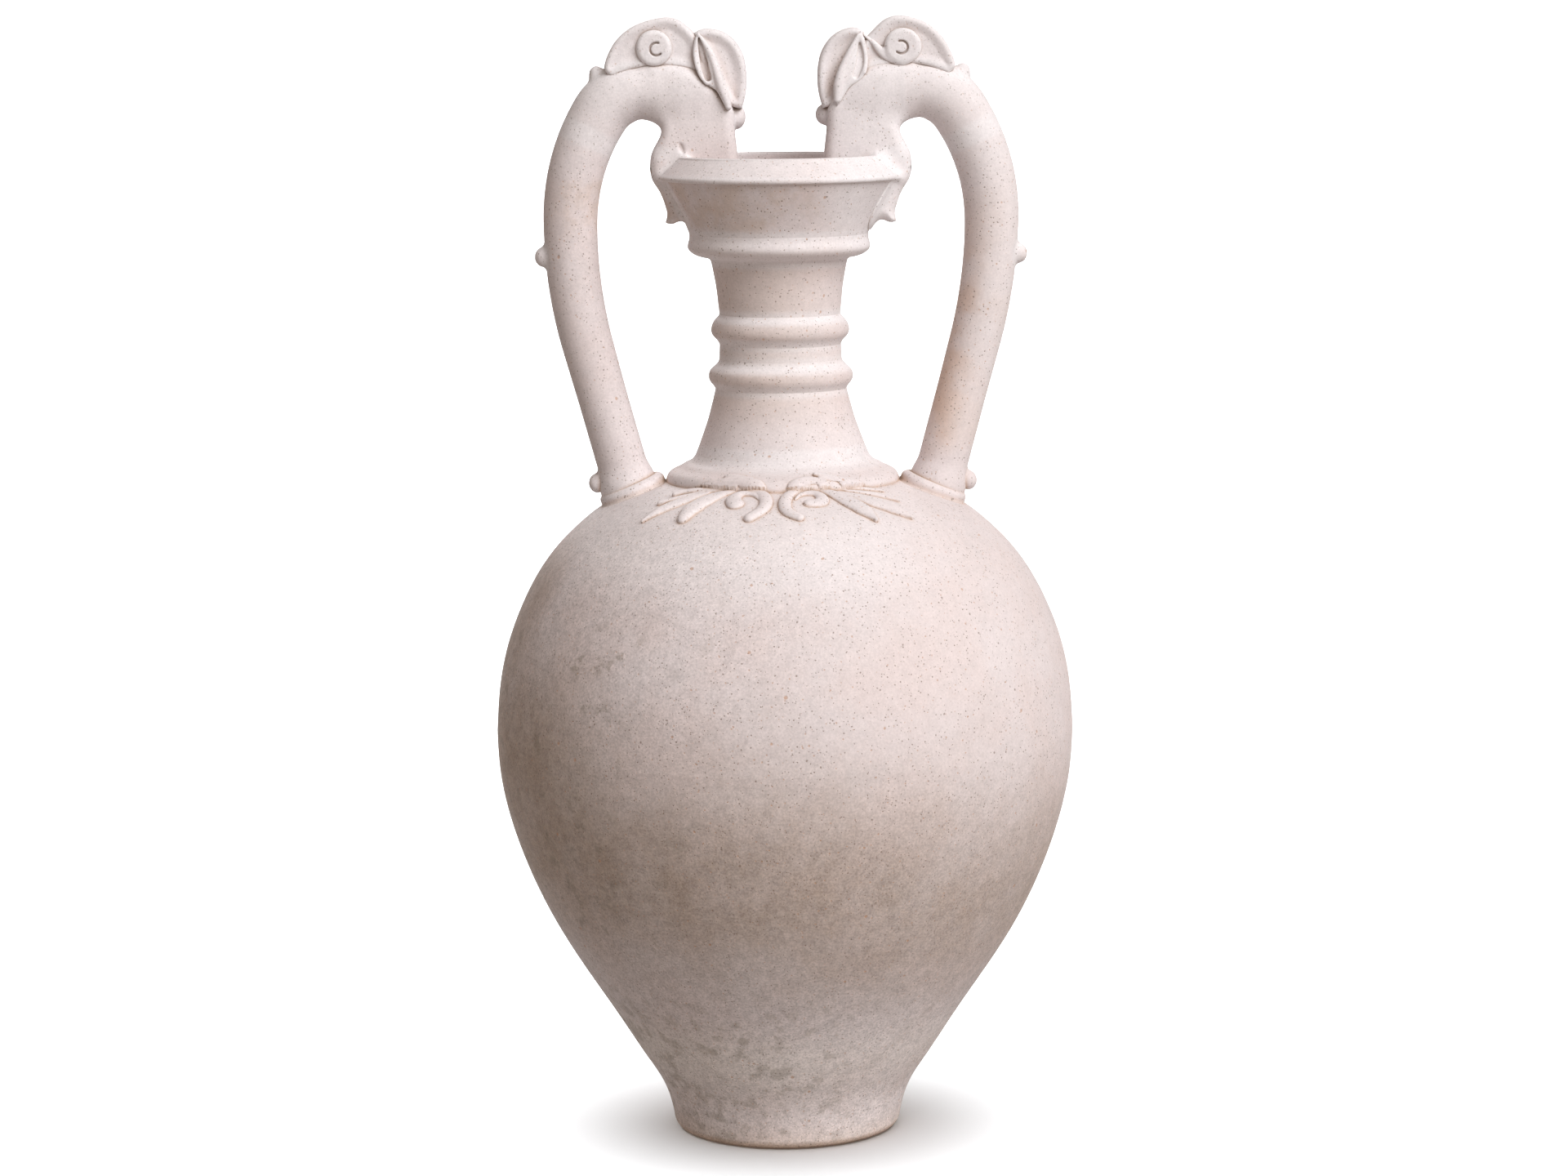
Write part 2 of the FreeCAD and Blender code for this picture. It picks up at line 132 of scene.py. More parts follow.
MOUTH_NICKS = {
    "left": ((39.8, 400.6), (38.7, 397.0), (36.2, 392.6)),
    "right": ((38.6, 397.4), (37.2, 396.2), (35.8, 394.4)),
}

VOXEL = 0.5  # spacing of the sample points of carved pieces
THIN_VOXEL = 0.4
FINE_VOXEL = 0.35
PULLS = 3  # times that each vertex is pulled to the exact surface
LONGEST_PULL = 0.4  # in sample steps
SMOOTH_STEPS = 10  # steps between two points of a smooth line
LATHE_TURNS = 360
SHARP_ANGLE = 38.0  # edges of turned pieces that turn more than this stay crisp


# ---- curves ----
def spline(points, steps=SMOOTH_STEPS):
    """A natural cubic spline through points, as an array of points."""
    knots = np.array(points, float)
    if len(knots) < 3:
        return knots
    gaps = np.linalg.norm(np.diff(knots, axis=0), axis=1)
    count = len(knots)
    matrix = np.eye(count)
    right = np.zeros_like(knots)
    for i in range(1, count - 1):
        matrix[i, i - 1:i + 2] = gaps[i - 1], 2 * (gaps[i - 1] + gaps[i]), gaps[i]
        slope_after = (knots[i + 1] - knots[i]) / gaps[i]
        slope_before = (knots[i] - knots[i - 1]) / gaps[i - 1]
        right[i] = 6 * (slope_after - slope_before)
    bend = np.linalg.solve(matrix, right)
    line = []
    for i, gap in enumerate(gaps):
        for b in np.linspace(0, 1, steps, endpoint=False):
            a = 1 - b
            curving = (a ** 3 - a) * bend[i] + (b ** 3 - b) * bend[i + 1]
            line.append(a * knots[i] + b * knots[i + 1] + gap * gap / 6 * curving)
    line.append(knots[-1])
    return np.array(line)


def closed_line(runs):
    """One closed line from several runs: a run of two points is straight, a longer one is smooth."""
    return np.concatenate([spline(run)[:-1] for run in runs])


def ramp(value, start, end):
    """Rises smoothly from 0 at start to 1 at end."""
    t = np.clip((value - start) / (end - start), 0, 1)
    return t * t * (3 - 2 * t)


# ---- meshes ----
NECK_LEAN = 1.0  # the mouth stands this far to the left of the belly
FOOT_LEAN = 0.6  # and so does the foot
WOBBLE = np.random.default_rng(11)
WOBBLE_WAVES = [
    (WOBBLE.normal(size=3) / reach, WOBBLE.uniform(0, 2 * math.pi), depth)
    for reach, depth in ((34.0, 0.07), (30.0, 0.07), (22.0, 0.06), (17.0, 0.05), (11.0, 0.04), (8.0, 0.03))
]


def hand_made(points):
    """Moves points by the small unevenness of a hand-finished surface, the same for every piece."""
    moved = np.array(points, float)
    moved[:, 0] -= NECK_LEAN * ramp(points[:, 2], 240.0, 380.0)
    moved[:, 0] -= FOOT_LEAN * ramp(-points[:, 2], -130.0, -20.0)
    for wave, phase, depth in WOBBLE_WAVES:
        moved[:, 0] += depth * np.sin(points @ wave + phase)
        moved[:, 1] += depth * np.sin(points @ wave[[1, 2, 0]] + 2 * phase)
    return moved


def add_mesh(points, faces):
    """A smooth-shaded mesh object, from points in millimetres."""
    mesh = bpy.data.meshes.new("ware")
    points = hand_made(np.asarray(points, float)) * MM
    faces = np.asarray(faces, np.int32)
    mesh.vertices.add(len(points))
    mesh.vertices.foreach_set("co", points.ravel())
    sides = faces.shape[1]
    mesh.loops.add(faces.size)
    mesh.loops.foreach_set("vertex_index", faces.ravel())
    mesh.polygons.add(len(faces))
    mesh.polygons.foreach_set("loop_start", np.arange(0, faces.size, sides, dtype=np.int32))
    mesh.update(calc_edges=True)
    mesh.validate()
    mesh.polygons.foreach_set("use_smooth", np.ones(len(mesh.polygons), bool))
    mesh.update()
    thing = bpy.data.objects.new("ware", mesh)
    bpy.context.scene.collection.objects.link(thing)
    return thing


def lathe(line):
    """A ring, tube or bowl, from a closed line of (radius, height) points that runs anticlockwise."""
    line = np.asarray(line, float)
    angles = np.linspace(0, 2 * math.pi, LATHE_TURNS, endpoint=False)
    points = np.stack([
        np.outer(np.cos(angles), line[:, 0]),
        np.outer(np.sin(angles), line[:, 0]),
        np.tile(line[:, 1], (LATHE_TURNS, 1)),
    ], axis=-1).reshape(-1, 3)
    count = len(line)
    here = (np.arange(LATHE_TURNS) * count)[:, None]
    after = np.roll(here, -1, axis=0)
    step = np.arange(count)[None, :]
    next_step = (step + 1) % count
    faces = np.stack([here + step, after + step, after + next_step, here + next_step], axis=-1)
    thing = add_mesh(points, faces.reshape(-1, 4))
    thing.data.set_sharp_from_angle(angle=math.radians(SHARP_ANGLE))
    return thing


# ---- solids by distance fields ----
class Block:
    """A box of sample points, with its axes shaped so that fields on it broadcast."""

    def __init__(self, low, high, step=VOXEL):
        self.low = np.array(low, float)
        self.step = step
        counts = np.ceil((np.array(high, float) - self.low) / step).astype(int) + 1
        axes = [self.low[i] + step * np.arange(counts[i]) for i in range(3)]
        self.x = axes[0][:, None, None].astype(np.float32)
        self.y = axes[1][None, :, None].astype(np.float32)
        self.z = axes[2][None, None, :].astype(np.float32)
        self.shape = tuple(counts)


def outline_field(across, up, line):
    """Distance in a plane to a closed line, negative inside, from two arrays of coordinates."""
    x, z = np.broadcast_arrays(across, up)
    best = np.full(x.shape, 1e9, np.float32)
    inside = np.zeros(x.shape, bool)
    for (ax, az), (bx, bz) in zip(line, np.roll(line, -1, axis=0)):
        dx, dz = bx - ax, bz - az
        length = dx * dx + dz * dz
        if length < 1e-9:
            continue
        along = np.clip(((x - ax) * dx + (z - az) * dz) / length, 0, 1)
        best = np.minimum(best, (x - ax - along * dx) ** 2 + (z - az - along * dz) ** 2)
        if az != bz:
            inside ^= ((az > z) != (bz > z)) & (x < dx * (z - az) / dz + ax)
    return np.where(inside, -1, 1) * np.sqrt(best)


def stroke_field(block, line, widths):
    """Distance in the XZ plane to a stroke whose half width runs through widths, and the place along it."""
    line = np.asarray(line, float)
    x, z = np.broadcast_arrays(block.x, block.z)
    places = np.concatenate([[0], np.cumsum(np.linalg.norm(np.diff(line, axis=0), axis=1))])
    places /= places[-1]
    best = np.full(x.shape, 1e9, np.float32)
    where = np.zeros(x.shape, np.float32)
    for i in range(len(line) - 1):
        (ax, az), (bx, bz) = line[i], line[i + 1]
        dx, dz = bx - ax, bz - az
        along = np.clip(((x - ax) * dx + (z - az) * dz) / (dx * dx + dz * dz), 0, 1)
        part = places[i] + along * (places[i + 1] - places[i])
        half = np.interp(part, np.linspace(0, 1, len(widths)), widths)
        gap = np.hypot(x - ax - along * dx, z - az - along * dz) - half
        closer = gap < best
        best = np.where(closer, gap, best)
        where = np.where(closer, part, where)
    return best, where


def join(a, b, blend):
    """Union of two fields with a fillet."""
    h = np.maximum(blend - np.abs(a - b), 0) / blend
    return np.minimum(a, b) - h * h * blend / 4


def meet(a, b, blend):
    """Overlap of two fields with a rounded edge."""
    return -join(-a, -b, blend)


def plate(flat, y, half, edge):
    """A plate of half thickness half, with edges rounded to the radius edge."""
    out = flat + edge
    up = np.abs(y) - half + edge
    corner = np.hypot(np.maximum(out, 0), np.maximum(up, 0))
    return np.minimum(np.maximum(out, up), 0) + corner - edge


def ball(block, centre, radii):
    """An ellipsoid, as an approximate distance."""
    x = (block.x - centre[0]) / radii[0]
    y = (block.y - centre[1]) / radii[1]
    z = (block.z - centre[2]) / radii[2]
    return (np.sqrt(x * x + y * y + z * z) - 1) * min(radii)


def surface_net(field, block):
    """Points and four-sided faces of the surface where a field is zero."""
    open_field = np.broadcast_to(field, block.shape)
    field = np.full(block.shape, block.step, np.float32)
    middle = (slice(1, -1),) * 3
    field[middle] = open_field[middle]
    inside = field < 0
    cells = np.array(block.shape)
    cell_of, place_of, quads = [], [], []
    for axis in range(3):
        near = [slice(None)] * 3
        far = [slice(None)] * 3
        near[axis] = slice(None, -1)
        far[axis] = slice(1, None)
        spots = np.argwhere(inside[tuple(near)] != inside[tuple(far)])
        value = field[tuple(near)][tuple(spots.T)]
        next_value = field[tuple(far)][tuple(spots.T)]
        places = spots.astype(float)
        places[:, axis] += value / (value - next_value)
        u, v = (axis + 1) % 3, (axis + 2) % 3
        corners = []
        for du, dv in ((0, 0), (-1, 0), (-1, -1), (0, -1)):
            cell = spots.copy()
            cell[:, u] += du
            cell[:, v] += dv
            corners.append(np.ravel_multi_index(tuple(cell.T), cells))
            cell_of.append(corners[-1])
            place_of.append(places)
        quad = np.stack(corners, axis=1)
        leaving = value < 0
        quad[leaving] = quad[leaving][:, ::-1]
        quads.append(quad[:, ::-1])
    cell_of = np.concatenate(cell_of)
    place_of = np.concatenate(place_of)
    used, index = np.unique(cell_of, return_inverse=True)
    count = np.bincount(index)
    points = np.stack([np.bincount(index, place_of[:, i]) / count for i in range(3)], axis=1)
    faces = np.searchsorted(used, np.concatenate(quads))
    for _ in range(PULLS):
        points -= pull_to_surface(field, points)
    return block.low + points * block.step, faces


def pull_to_surface(field, points):
    """How far each point, in sample steps, has to go back to reach the field's zero."""
    top = np.array(field.shape) - 2
    base = np.clip(np.floor(points).astype(int), 0, top)
    part = points - base
    value = np.zeros(len(points))
    slope = np.zeros((len(points), 3))
    for corner in np.ndindex(2, 2, 2):
        sample = field[tuple((base + corner).T)]
        weight = np.where(corner, part, 1 - part)
        value += sample * weight.prod(axis=1)
        for axis in range(3):
            others = [i for i in range(3) if i != axis]
            sign = 1 if corner[axis] else -1
            slope[:, axis] += sign * sample * weight[:, others].prod(axis=1)
    size = np.maximum((slope ** 2).sum(axis=1), 1e-6)
    move = value[:, None] * slope / size[:, None]
    return np.clip(move, -LONGEST_PULL, LONGEST_PULL)


# ---- the material ----
class Nodes:
    """Short calls that add nodes to one material and link them."""

    def __init__(self, tree):
        self.tree = tree
        self.place = tree.nodes.new("ShaderNodeTexCoord").outputs["Object"]
        axes = self.add("SeparateXYZ", {"Vector": self.place}).outputs
        self.across, self.deep, self.up = axes["X"], axes["Y"], axes["Z"]
        squared = self.maths("MULTIPLY", self.deep, self.deep)
        self.radius = self.maths("SQRT", self.maths("MULTIPLY_ADD", self.across, self.across, squared))
        jitter = self.add("TexNoise", {"Vector": self.place, "Scale": 1500.0, "Detail": 2.0})
        ragged = {0: jitter.outputs["Color"], 1: (RAGGEDNESS,) * 3, 2: self.place}
        self.ragged = self.add("VectorMath", ragged, operation="MULTIPLY_ADD").outputs[0]

    def add(self, kind, inputs=(), **settings):
        node = self.tree.nodes.new("ShaderNode" + kind)
        for name, value in settings.items():
            setattr(node, name, value)
        for socket, value in dict(inputs).items():
            if hasattr(value, "is_output"):
                self.tree.links.new(value, node.inputs[socket])
            else:
                node.inputs[socket].default_value = value
        return node

    def maths(self, operation, a, b=0.0, c=0.0):
        return self.add("Math", {0: a, 1: b, 2: c}, operation=operation).outputs[0]

    def step(self, value, start, end, low=0.0, high=1.0):
        """A value mapped smoothly from start..end to low..high, and held outside."""
        inputs = {"Value": value, "From Min": start, "From Max": end, "To Min": low, "To Max": high}
        return self.add("MapRange", inputs, interpolation_type="SMOOTHSTEP").outputs["Result"]

    def band(self, value, start, full, fade, end, high=1.0):
        """A value mapped to high from full to fade, and smoothly to 0 at start and end."""
        return self.product(self.step(value, start, full, 0.0, high), self.step(value, end, fade))

    def noise(self, scale, detail=3.0, roughness=0.5, lift=0.0):
        """Noise from 0 to 1 whose features are about 1/scale metres across; lift picks a pattern."""
        inputs = {"Vector": self.place, "Scale": scale, "Detail": detail, "Roughness": roughness, "W": lift}
        return self.add("TexNoise", inputs, noise_dimensions="4D").outputs["Fac"]

    def mix(self, part, a, b, blend="MIX"):
        node = self.add("Mix", {"Factor": part}, data_type="RGBA", blend_type=blend)
        for socket, value in (("A", a), ("B", b)):
            target = [i for i in node.inputs if i.name == socket and i.type == "RGBA"][0]
            if hasattr(value, "is_output"):
                self.tree.links.new(value, target)
            else:
                target.default_value = (*value, 1.0)
        return [o for o in node.outputs if o.type == "RGBA"][0]

    def openness(self, distance, inside=False):
        """How open a place is, from 0 to 1, within a distance before it, or inside the solid behind it."""
        node = self.add("AmbientOcclusion", {"Distance": distance}, samples=6, inside=inside)
        return node.outputs["AO"]

    def mix_in(self, colour, tint, *parts):
        """A colour with a tint mixed in by the product of the parts, for staining and for painted light and
        shade.
        """
        return self.mix(self.product(*parts), colour, tint)

    def dots(self, cell, size, share, lift):
        """Scattered dots: cell is the spacing and size the largest radius, in metres."""
        place = self.add("VectorMath", {0: self.ragged, 1: (lift, lift, lift)}, operation="ADD")
        cells = self.add("TexVoronoi", {"Vector": place.outputs[0], "Scale": 1 / cell, "Randomness": 1.0})
        chance = self.add("SeparateColor", {"Color": cells.outputs["Color"]})
        picked = self.maths("LESS_THAN", chance.outputs["Red"], share)
        reach = self.maths("MULTIPLY_ADD", chance.outputs["Green"], 0.6 * size / cell, 0.4 * size / cell)
        edge = self.maths("DIVIDE", cells.outputs["Distance"], reach)
        return self.maths("MULTIPLY", self.step(edge, 0.55, 1.1, 1.0, 0.0), picked)

    def product(self, *parts):
        """Several values multiplied together."""
        total = parts[0]
        for part in parts[1:]:
            total = self.maths("MULTIPLY", total, part)
        return total


WARE_PALE = (0.697, 0.627, 0.628)
WARE_PINK = (0.690, 0.600, 0.590)
WARE_GREY = (0.615, 0.560, 0.555)
# painted light: the whiter colour laid on lit parts
PAINTED_LIGHT_WHITE = (0.800, 0.760, 0.775)
# painted bounce light on the foot
PAINTED_BOUNCE_LIGHT = (0.800, 0.735, 0.705)
# painted highlight on edges
PAINTED_EDGE_HIGHLIGHT = (0.800, 0.780, 0.800)
# brown of the low and left staining, which also paints shade there
STAIN_AND_SHADE_BROWN = (0.320, 0.230, 0.165)
WARM_TAN = (0.520, 0.380, 0.280)
BAR_TAN = (0.640, 0.470, 0.380)
STAIN_GREY = (0.300, 0.250, 0.205)
# painted shade with warm dirt in hollows
CREVICE_SHADE_AND_DIRT_TAN = (0.560, 0.400, 0.300)
# painted shade in tight cracks
PAINTED_CRACK_SHADE = (0.230, 0.150, 0.105)
DOT_BROWN = (0.210, 0.150, 0.120)
DOT_RUST = (0.480, 0.260, 0.150)
RAGGEDNESS = 0.0007  # how far the specks' edges wander, in metres
SPECKS = (  # spacing, largest radius, share of places, pattern, tint, strength
    (0.0045, 0.00056, 0.60, 2.0, DOT_BROWN, 0.64),
    (0.0013, 0.00038, 0.68, 4.0, DOT_BROWN, 0.72),
    (0.0075, 0.00088, 0.40, 6.0, DOT_RUST, 0.60),
    (0.0022, 0.00046, 0.60, 8.0, DOT_RUST, 0.56),
)


# In the next functions, n.up is the height in metres, n.across is to the right of the front, and
# n.radius is from the axis. Left and right are as seen from the front.
def clay_tone(n):
    """The bare ware: pale and pink clouds with greyer patches."""
    cloud = n.step(n.noise(22.0, 4.0, 0.6), 0.38, 0.64)
    grey = n.step(n.noise(60.0, 3.0, 0.6, lift=3.0), 0.52, 0.75, 0.0, 0.35)
    return n.mix(grey, n.mix(cloud, WARE_PALE, WARE_PINK), WARE_GREY)


def stain_and_shade_part(n):
    """How far a place is below the wavy top of the low brown, partly staining and partly painted shade, which
    falls to the right.
    """
    swell = n.noise(16.0, 5.0, 0.6, lift=12.0)
    fall = n.maths("MULTIPLY_ADD", n.maths("MAXIMUM", n.across, 0.0), -0.18, 0.170)
    line = n.maths("MULTIPLY_ADD", swell, 0.07, fall)
    return n.step(n.maths("SUBTRACT", line, n.up), 0.0, 0.082)


def body_stains_and_shade(n, colour, left_part, low_part):
    """Brown low on the body and on its left side, partly staining and partly painted shade on the underside
    and the side away from the key light, and grey blots on the left.
    """
    mottle = n.step(n.noise(48.0, 7.0, 0.74, lift=7.0), 0.34, 0.68, 0.66, 1.0)
    reach = n.maths("MULTIPLY_ADD", left_part, 0.10, 0.675)
    low_edge = n.step(n.maths("MULTIPLY_ADD", left_part, -0.022, n.up), 0.042, 0.100)
    # staining and painted shade: the lower belly turns brown, reaching higher on the left
    colour = n.mix_in(colour, STAIN_AND_SHADE_BROWN, low_part, low_edge, mottle, reach)
    # staining and painted shade on the left side, with a band at its left edge as seen from the front
    side = n.product(n.step(n.across, -0.04, -0.115, 0.0, 0.70), n.band(n.up, 0.125, 0.165, 0.165, 0.235))
    turn = n.maths("DIVIDE", n.across, n.maths("MAXIMUM", n.radius, MM))
    rim = n.product(n.step(turn, -0.86, -0.97, 0.0, 0.6), n.band(n.up, 0.15, 0.17, 0.225, 0.25))
    colour = n.mix_in(colour, STAIN_AND_SHADE_BROWN, n.maths("MAXIMUM", side, rim), mottle)
    blot = n.step(n.noise(105.0, 5.0, 0.62, lift=15.0), 0.55, 0.63)
    patch = n.step(n.noise(30.0, 2.0, lift=18.0), 0.42, 0.6)
    place = n.product(n.step(n.across, 0.0, -0.08), n.band(n.up, 0.05, 0.10, 0.20, 0.25, 0.55))
    return n.mix_in(colour, STAIN_GREY, blot, patch, place)


def neck_and_cup_tan(n, colour):
    """Tan on the neck, stronger to the left, and on the left of the cup below the lip."""
    smear = n.step(n.noise(38.0, 5.0, 0.65, lift=24.0), 0.42, 0.62)
    cup = n.product(n.step(n.across, 0.035, -0.005, 0.0, 0.45), n.band(n.up, 0.362, 0.370, 0.384, 0.389))
    colour = n.mix_in(colour, WARM_TAN, cup, smear)
    neck_part = n.product(n.band(n.up, 0.280, 0.305, 0.350, 0.368), n.step(n.radius, 0.050, 0.036))
    return n.mix_in(colour, WARM_TAN, neck_part, n.step(n.across, 0.028, -0.004, 0.06, 0.28))


def painted_light_parts(n, colour):
    """Painted light: whiter colour on the shoulder, the heads, the right handle, the right of the cup and
    faces that look up, and a paler foot in place of light thrown up from the floor.
    """
    # painted light: the shoulder, right handle, right of the cup and heads are whitened to read as lit
    shoulder = n.product(
        n.band(n.up, 0.220, 0.246, 0.262, 0.275, 0.6), n.band(n.across, -0.10, -0.07, 0.01, 0.08),
    )
    right_bar = n.product(n.step(n.across, 0.022, 0.034), n.step(n.up, 0.27, 0.29, 0.0, 0.45))
    cup = n.product(n.step(n.across, 0.008, 0.030), n.step(n.radius, 0.055, 0.050))
    cup = n.product(cup, n.step(n.up, 0.362, 0.372, 0.0, 0.80))
    heads = n.product(n.step(n.up, 0.385, 0.425, 0.0, 0.75), n.step(n.across, 0.02, 0.06, 1.0, 0.75))
    white = shoulder
    for part in (right_bar, cup, heads):
        white = n.maths("MAXIMUM", white, part)
    colour = n.mix_in(colour, PAINTED_LIGHT_WHITE, white)
    # painted light from above: faces that look up are whiter above the shoulder
    facing = n.add("SeparateXYZ", {"Vector": n.add("NewGeometry").outputs["Normal"]}).outputs["Z"]
    painted_top_light = n.step(facing, 0.15, 0.75, 0.0, 0.55)
    colour = n.mix_in(colour, PAINTED_LIGHT_WHITE, painted_top_light, n.step(n.up, 0.270, 0.280))
    # painted bounce light: the foot is paler, most on the left, in place of light thrown up from the floor
    foot = n.product(n.step(n.up, 0.065, 0.035, 0.0, 0.75), n.step(n.up, 0.012, 0.045, 0.15, 1.0))
    return n.mix_in(colour, PAINTED_BOUNCE_LIGHT, foot, n.step(n.across, 0.03, -0.01, 0.7, 1.0))


def bar_and_foot_marks(n, colour):
    """Tan at the foot's edge and on the inner side of the right bar; smudges and spots on the foot."""
    colour = n.mix_in(colour, WARM_TAN, n.step(n.up, 0.014, 0.0, 0.0, 0.35))
    inner = n.step(n.maths("MULTIPLY_ADD", n.up, -0.25, n.across), 0.002, -0.012, 0.25, 1.0)
    bar = n.product(n.step(n.across, 0.050, 0.056), n.band(n.up, 0.272, 0.285, 0.320, 0.400), inner)
    colour = n.mix_in(colour, BAR_TAN, bar, n.step(n.noise(55.0, 4.0, lift=27.0), 0.35, 0.6, 0.25, 0.85))
    left = n.step(n.across, 0.045, 0.0, 0.25, 1.0)
    smudge = n.step(n.noise(120.0, 5.0, 0.62, lift=21.0), 0.50, 0.62)
    colour = n.mix_in(colour, STAIN_GREY, smudge, left, n.step(n.up, 0.085, 0.05, 0.0, 0.40))
    spots = n.dots(0.011, 0.0034, 0.45, 11.0)
    return n.mix_in(colour, STAIN_GREY, spots, left, n.step(n.up, 0.080, 0.055, 0.0, 0.45))


def hollows_and_edges(n, colour):
    """Painted shade with warm dirt in hollows, painted highlights on edges above the body, painted tan shade
    round the sprays, and painted dark shade in tight cracks.
    """
    # painted shade with warm dirt: hollows turn tan where little around them is open
    colour = n.mix_in(colour, CREVICE_SHADE_AND_DIRT_TAN, n.step(n.openness(0.006), 0.85, 0.35, 0.0, 0.62))
    # painted highlight: convex edges above the body are whiter
    edge = n.step(n.openness(0.0030, inside=True), 0.55, 0.95, 0.45, 0.0)
    colour = n.mix_in(colour, PAINTED_EDGE_HIGHLIGHT, edge, n.step(n.up, 0.268, 0.276))
    # painted shade: tan round the sprays and dark in tight cracks, where little is open
    crack = n.openness(0.002)
    round_sprays = n.band(n.up, 0.235, 0.245, 0.272, 0.278)
    colour = n.mix_in(colour, CREVICE_SHADE_AND_DIRT_TAN, round_sprays, n.step(crack, 0.96, 0.60, 0.0, 0.75))
    return n.mix_in(colour, PAINTED_CRACK_SHADE, n.step(crack, 0.70, 0.25, 0.0, 0.65))


def grained(n, colour, left_part, low_part):
    """Fine grain and small blotches, stronger where the body carries its low and left brown of staining and
    painted shade.
    """
    grain = n.step(n.noise(1100.0, 3.0, 0.65, lift=1.0), 0.30, 0.70, -0.13, 0.08)
    blotch = n.step(n.noise(240.0, 4.0, 0.65, lift=5.0), 0.30, 0.70, -0.07, 0.05)
    # the low and left masks of staining and painted shade
    brown_stain_and_shade = n.maths("MAXIMUM", low_part, n.product(left_part, n.step(n.up, 0.27, 0.24, 0.15, 1.0)))
    depth = n.maths("MULTIPLY_ADD", brown_stain_and_shade, 1.15, 0.50)
    tone = n.maths("MULTIPLY_ADD", n.maths("ADD", grain, blotch), depth, 1.0)
    shade = n.add("CombineColor", {"Red": tone, "Green": tone, "Blue": tone})
    return n.mix(1.0, colour, shade.outputs["Color"], "MULTIPLY")


def specked(n, colour):
    """A colour with dark and rusty specks, fainter on the heads, and a mask of where they are."""
    fainter = n.step(n.up, 0.380, 0.410, 1.0, 0.6)
    pits = None
    for cell, size, share, lift, tint, strength in SPECKS:
        mask = n.dots(cell, size, share, lift)
        colour = n.mix_in(colour, tint, mask, fainter, strength)
        pits = mask if pits is None else n.maths("MAXIMUM", pits, mask)
    return colour, pits


def white_ware():
    """Matt white ware with its tone, staining mixed with painted shade, painted light on lit parts and the
    foot, painted shade with dirt in hollows, painted edge highlights, grain and pitted specks.
    """
    material = bpy.data.materials.new("white_ware")
    material.use_nodes = True
    n = Nodes(material.node_tree)
    left_part = n.step(n.across, 0.07, -0.12)
    low_part = stain_and_shade_part(n)
    colour = body_stains_and_shade(n, clay_tone(n), left_part, low_part)
    colour = painted_light_parts(n, neck_and_cup_tan(n, colour))
    colour = hollows_and_edges(n, bar_and_foot_marks(n, colour))
    colour, pits = specked(n, grained(n, colour, left_part, low_part))
    rough = n.noise(700.0, 4.0, 0.65, lift=9.0)
    relief = n.maths("MULTIPLY_ADD", pits, -0.8, n.maths("MULTIPLY", rough, 0.55))
    bump = n.add("Bump", {"Height": relief, "Strength": 0.35, "Distance": 0.0004})
    shader = n.tree.nodes["Principled BSDF"]
    shader.inputs["Roughness"].default_value = 0.82
    shader.inputs["Specular IOR Level"].default_value = 0.25
    n.tree.links.new(colour, shader.inputs["Base Color"])
    n.tree.links.new(bump.outputs["Normal"], shader.inputs["Normal"])
    return material


WARE = white_ware()
PIECES = []


def finish_piece(thing, node):
    """Gives a piece its name and material and lets it stand for its node of the frame."""
    thing.name = node + "_ware"
    thing.data.name = thing.name
    thing.data.materials.append(WARE)
    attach(thing, "root")
    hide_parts(node)
    PIECES.append(thing)


# ---- thrown body ----
BELLY_POINTS = (
    (FOOT_RADIUS, FOOT_EDGE), (47.6, 10.0), (51.3, 20.0), (57.6, 30.0), (70.5, 50.0), (83.8, 70.0),
    (95.7, 90.0), (104.9, 110.0), (111.7, 130.0), (115.7, 150.0), (BELLY_RADIUS, SEAM_HEIGHT),
)
SHOULDER_POINTS = (
    (BELLY_RADIUS, SEAM_HEIGHT), (115.6, 181.0), (112.0, 200.0), (106.5, 215.0), (98.6, 230.0),
    (91.0, 240.0), (83.7, 247.3), (73.2, 255.5), (60.0, 261.4), (46.0, SHOULDER_TOP),
)


def dense(points, count):
    """A smooth line through points, resampled to even steps."""
    line = spline(points, 40)
    lengths = np.concatenate([[0], np.cumsum(np.linalg.norm(np.diff(line, axis=0), axis=1))])
    even = np.linspace(0, lengths[-1], count)
    return np.stack([np.interp(even, lengths, line[:, i]) for i in range(2)], axis=1)


def arc(centre, radius, start, end, count):
    """Points of a round corner, from one angle to another in degrees."""
    angles = np.radians(np.linspace(start, end, count))
    return np.stack([centre[0] + radius * np.cos(angles), centre[1] + radius * np.sin(angles)], axis=1)


AXIS_GAP = 0.02  # the turned line stops this short of the axis


def body_lower():
    outer = dense(BELLY_POINTS, 190)
    inner = dense(tuple((r - WALL, z) for r, z in BELLY_POINTS[3:]), 60)[::-1]
    flat = FOOT_RADIUS - FOOT_EDGE
    line = np.concatenate([
        [(AXIS_GAP, 0.0)],
        np.stack([np.linspace(2, flat - 1, 12), np.zeros(12)], axis=1),
        arc((flat, FOOT_EDGE), FOOT_EDGE, -90, -8, 12),
        outer,
        inner,
        [(48.4, 22.0), (44.0, 16.0), (36.6, FLOOR_THICKNESS), (20.0, FLOOR_THICKNESS)],
        [(AXIS_GAP, FLOOR_THICKNESS)],
    ])
    return lathe(line)


def body_upper():
    outer = dense(SHOULDER_POINTS, 150)
    inner_points = tuple((r - WALL, z) for r, z in SHOULDER_POINTS[:-3])
    under_neck = ((70.0, 250.6), (46.0, 257.0), (24.0, 258.0), (BORE_RADIUS, SHOULDER_TOP))
    inner = dense(inner_points + under_neck, 60)
    return lathe(np.concatenate([outer, inner[::-1]]))


finish_piece(body_lower(), "body_lower")
finish_piece(body_upper(), "body_upper")

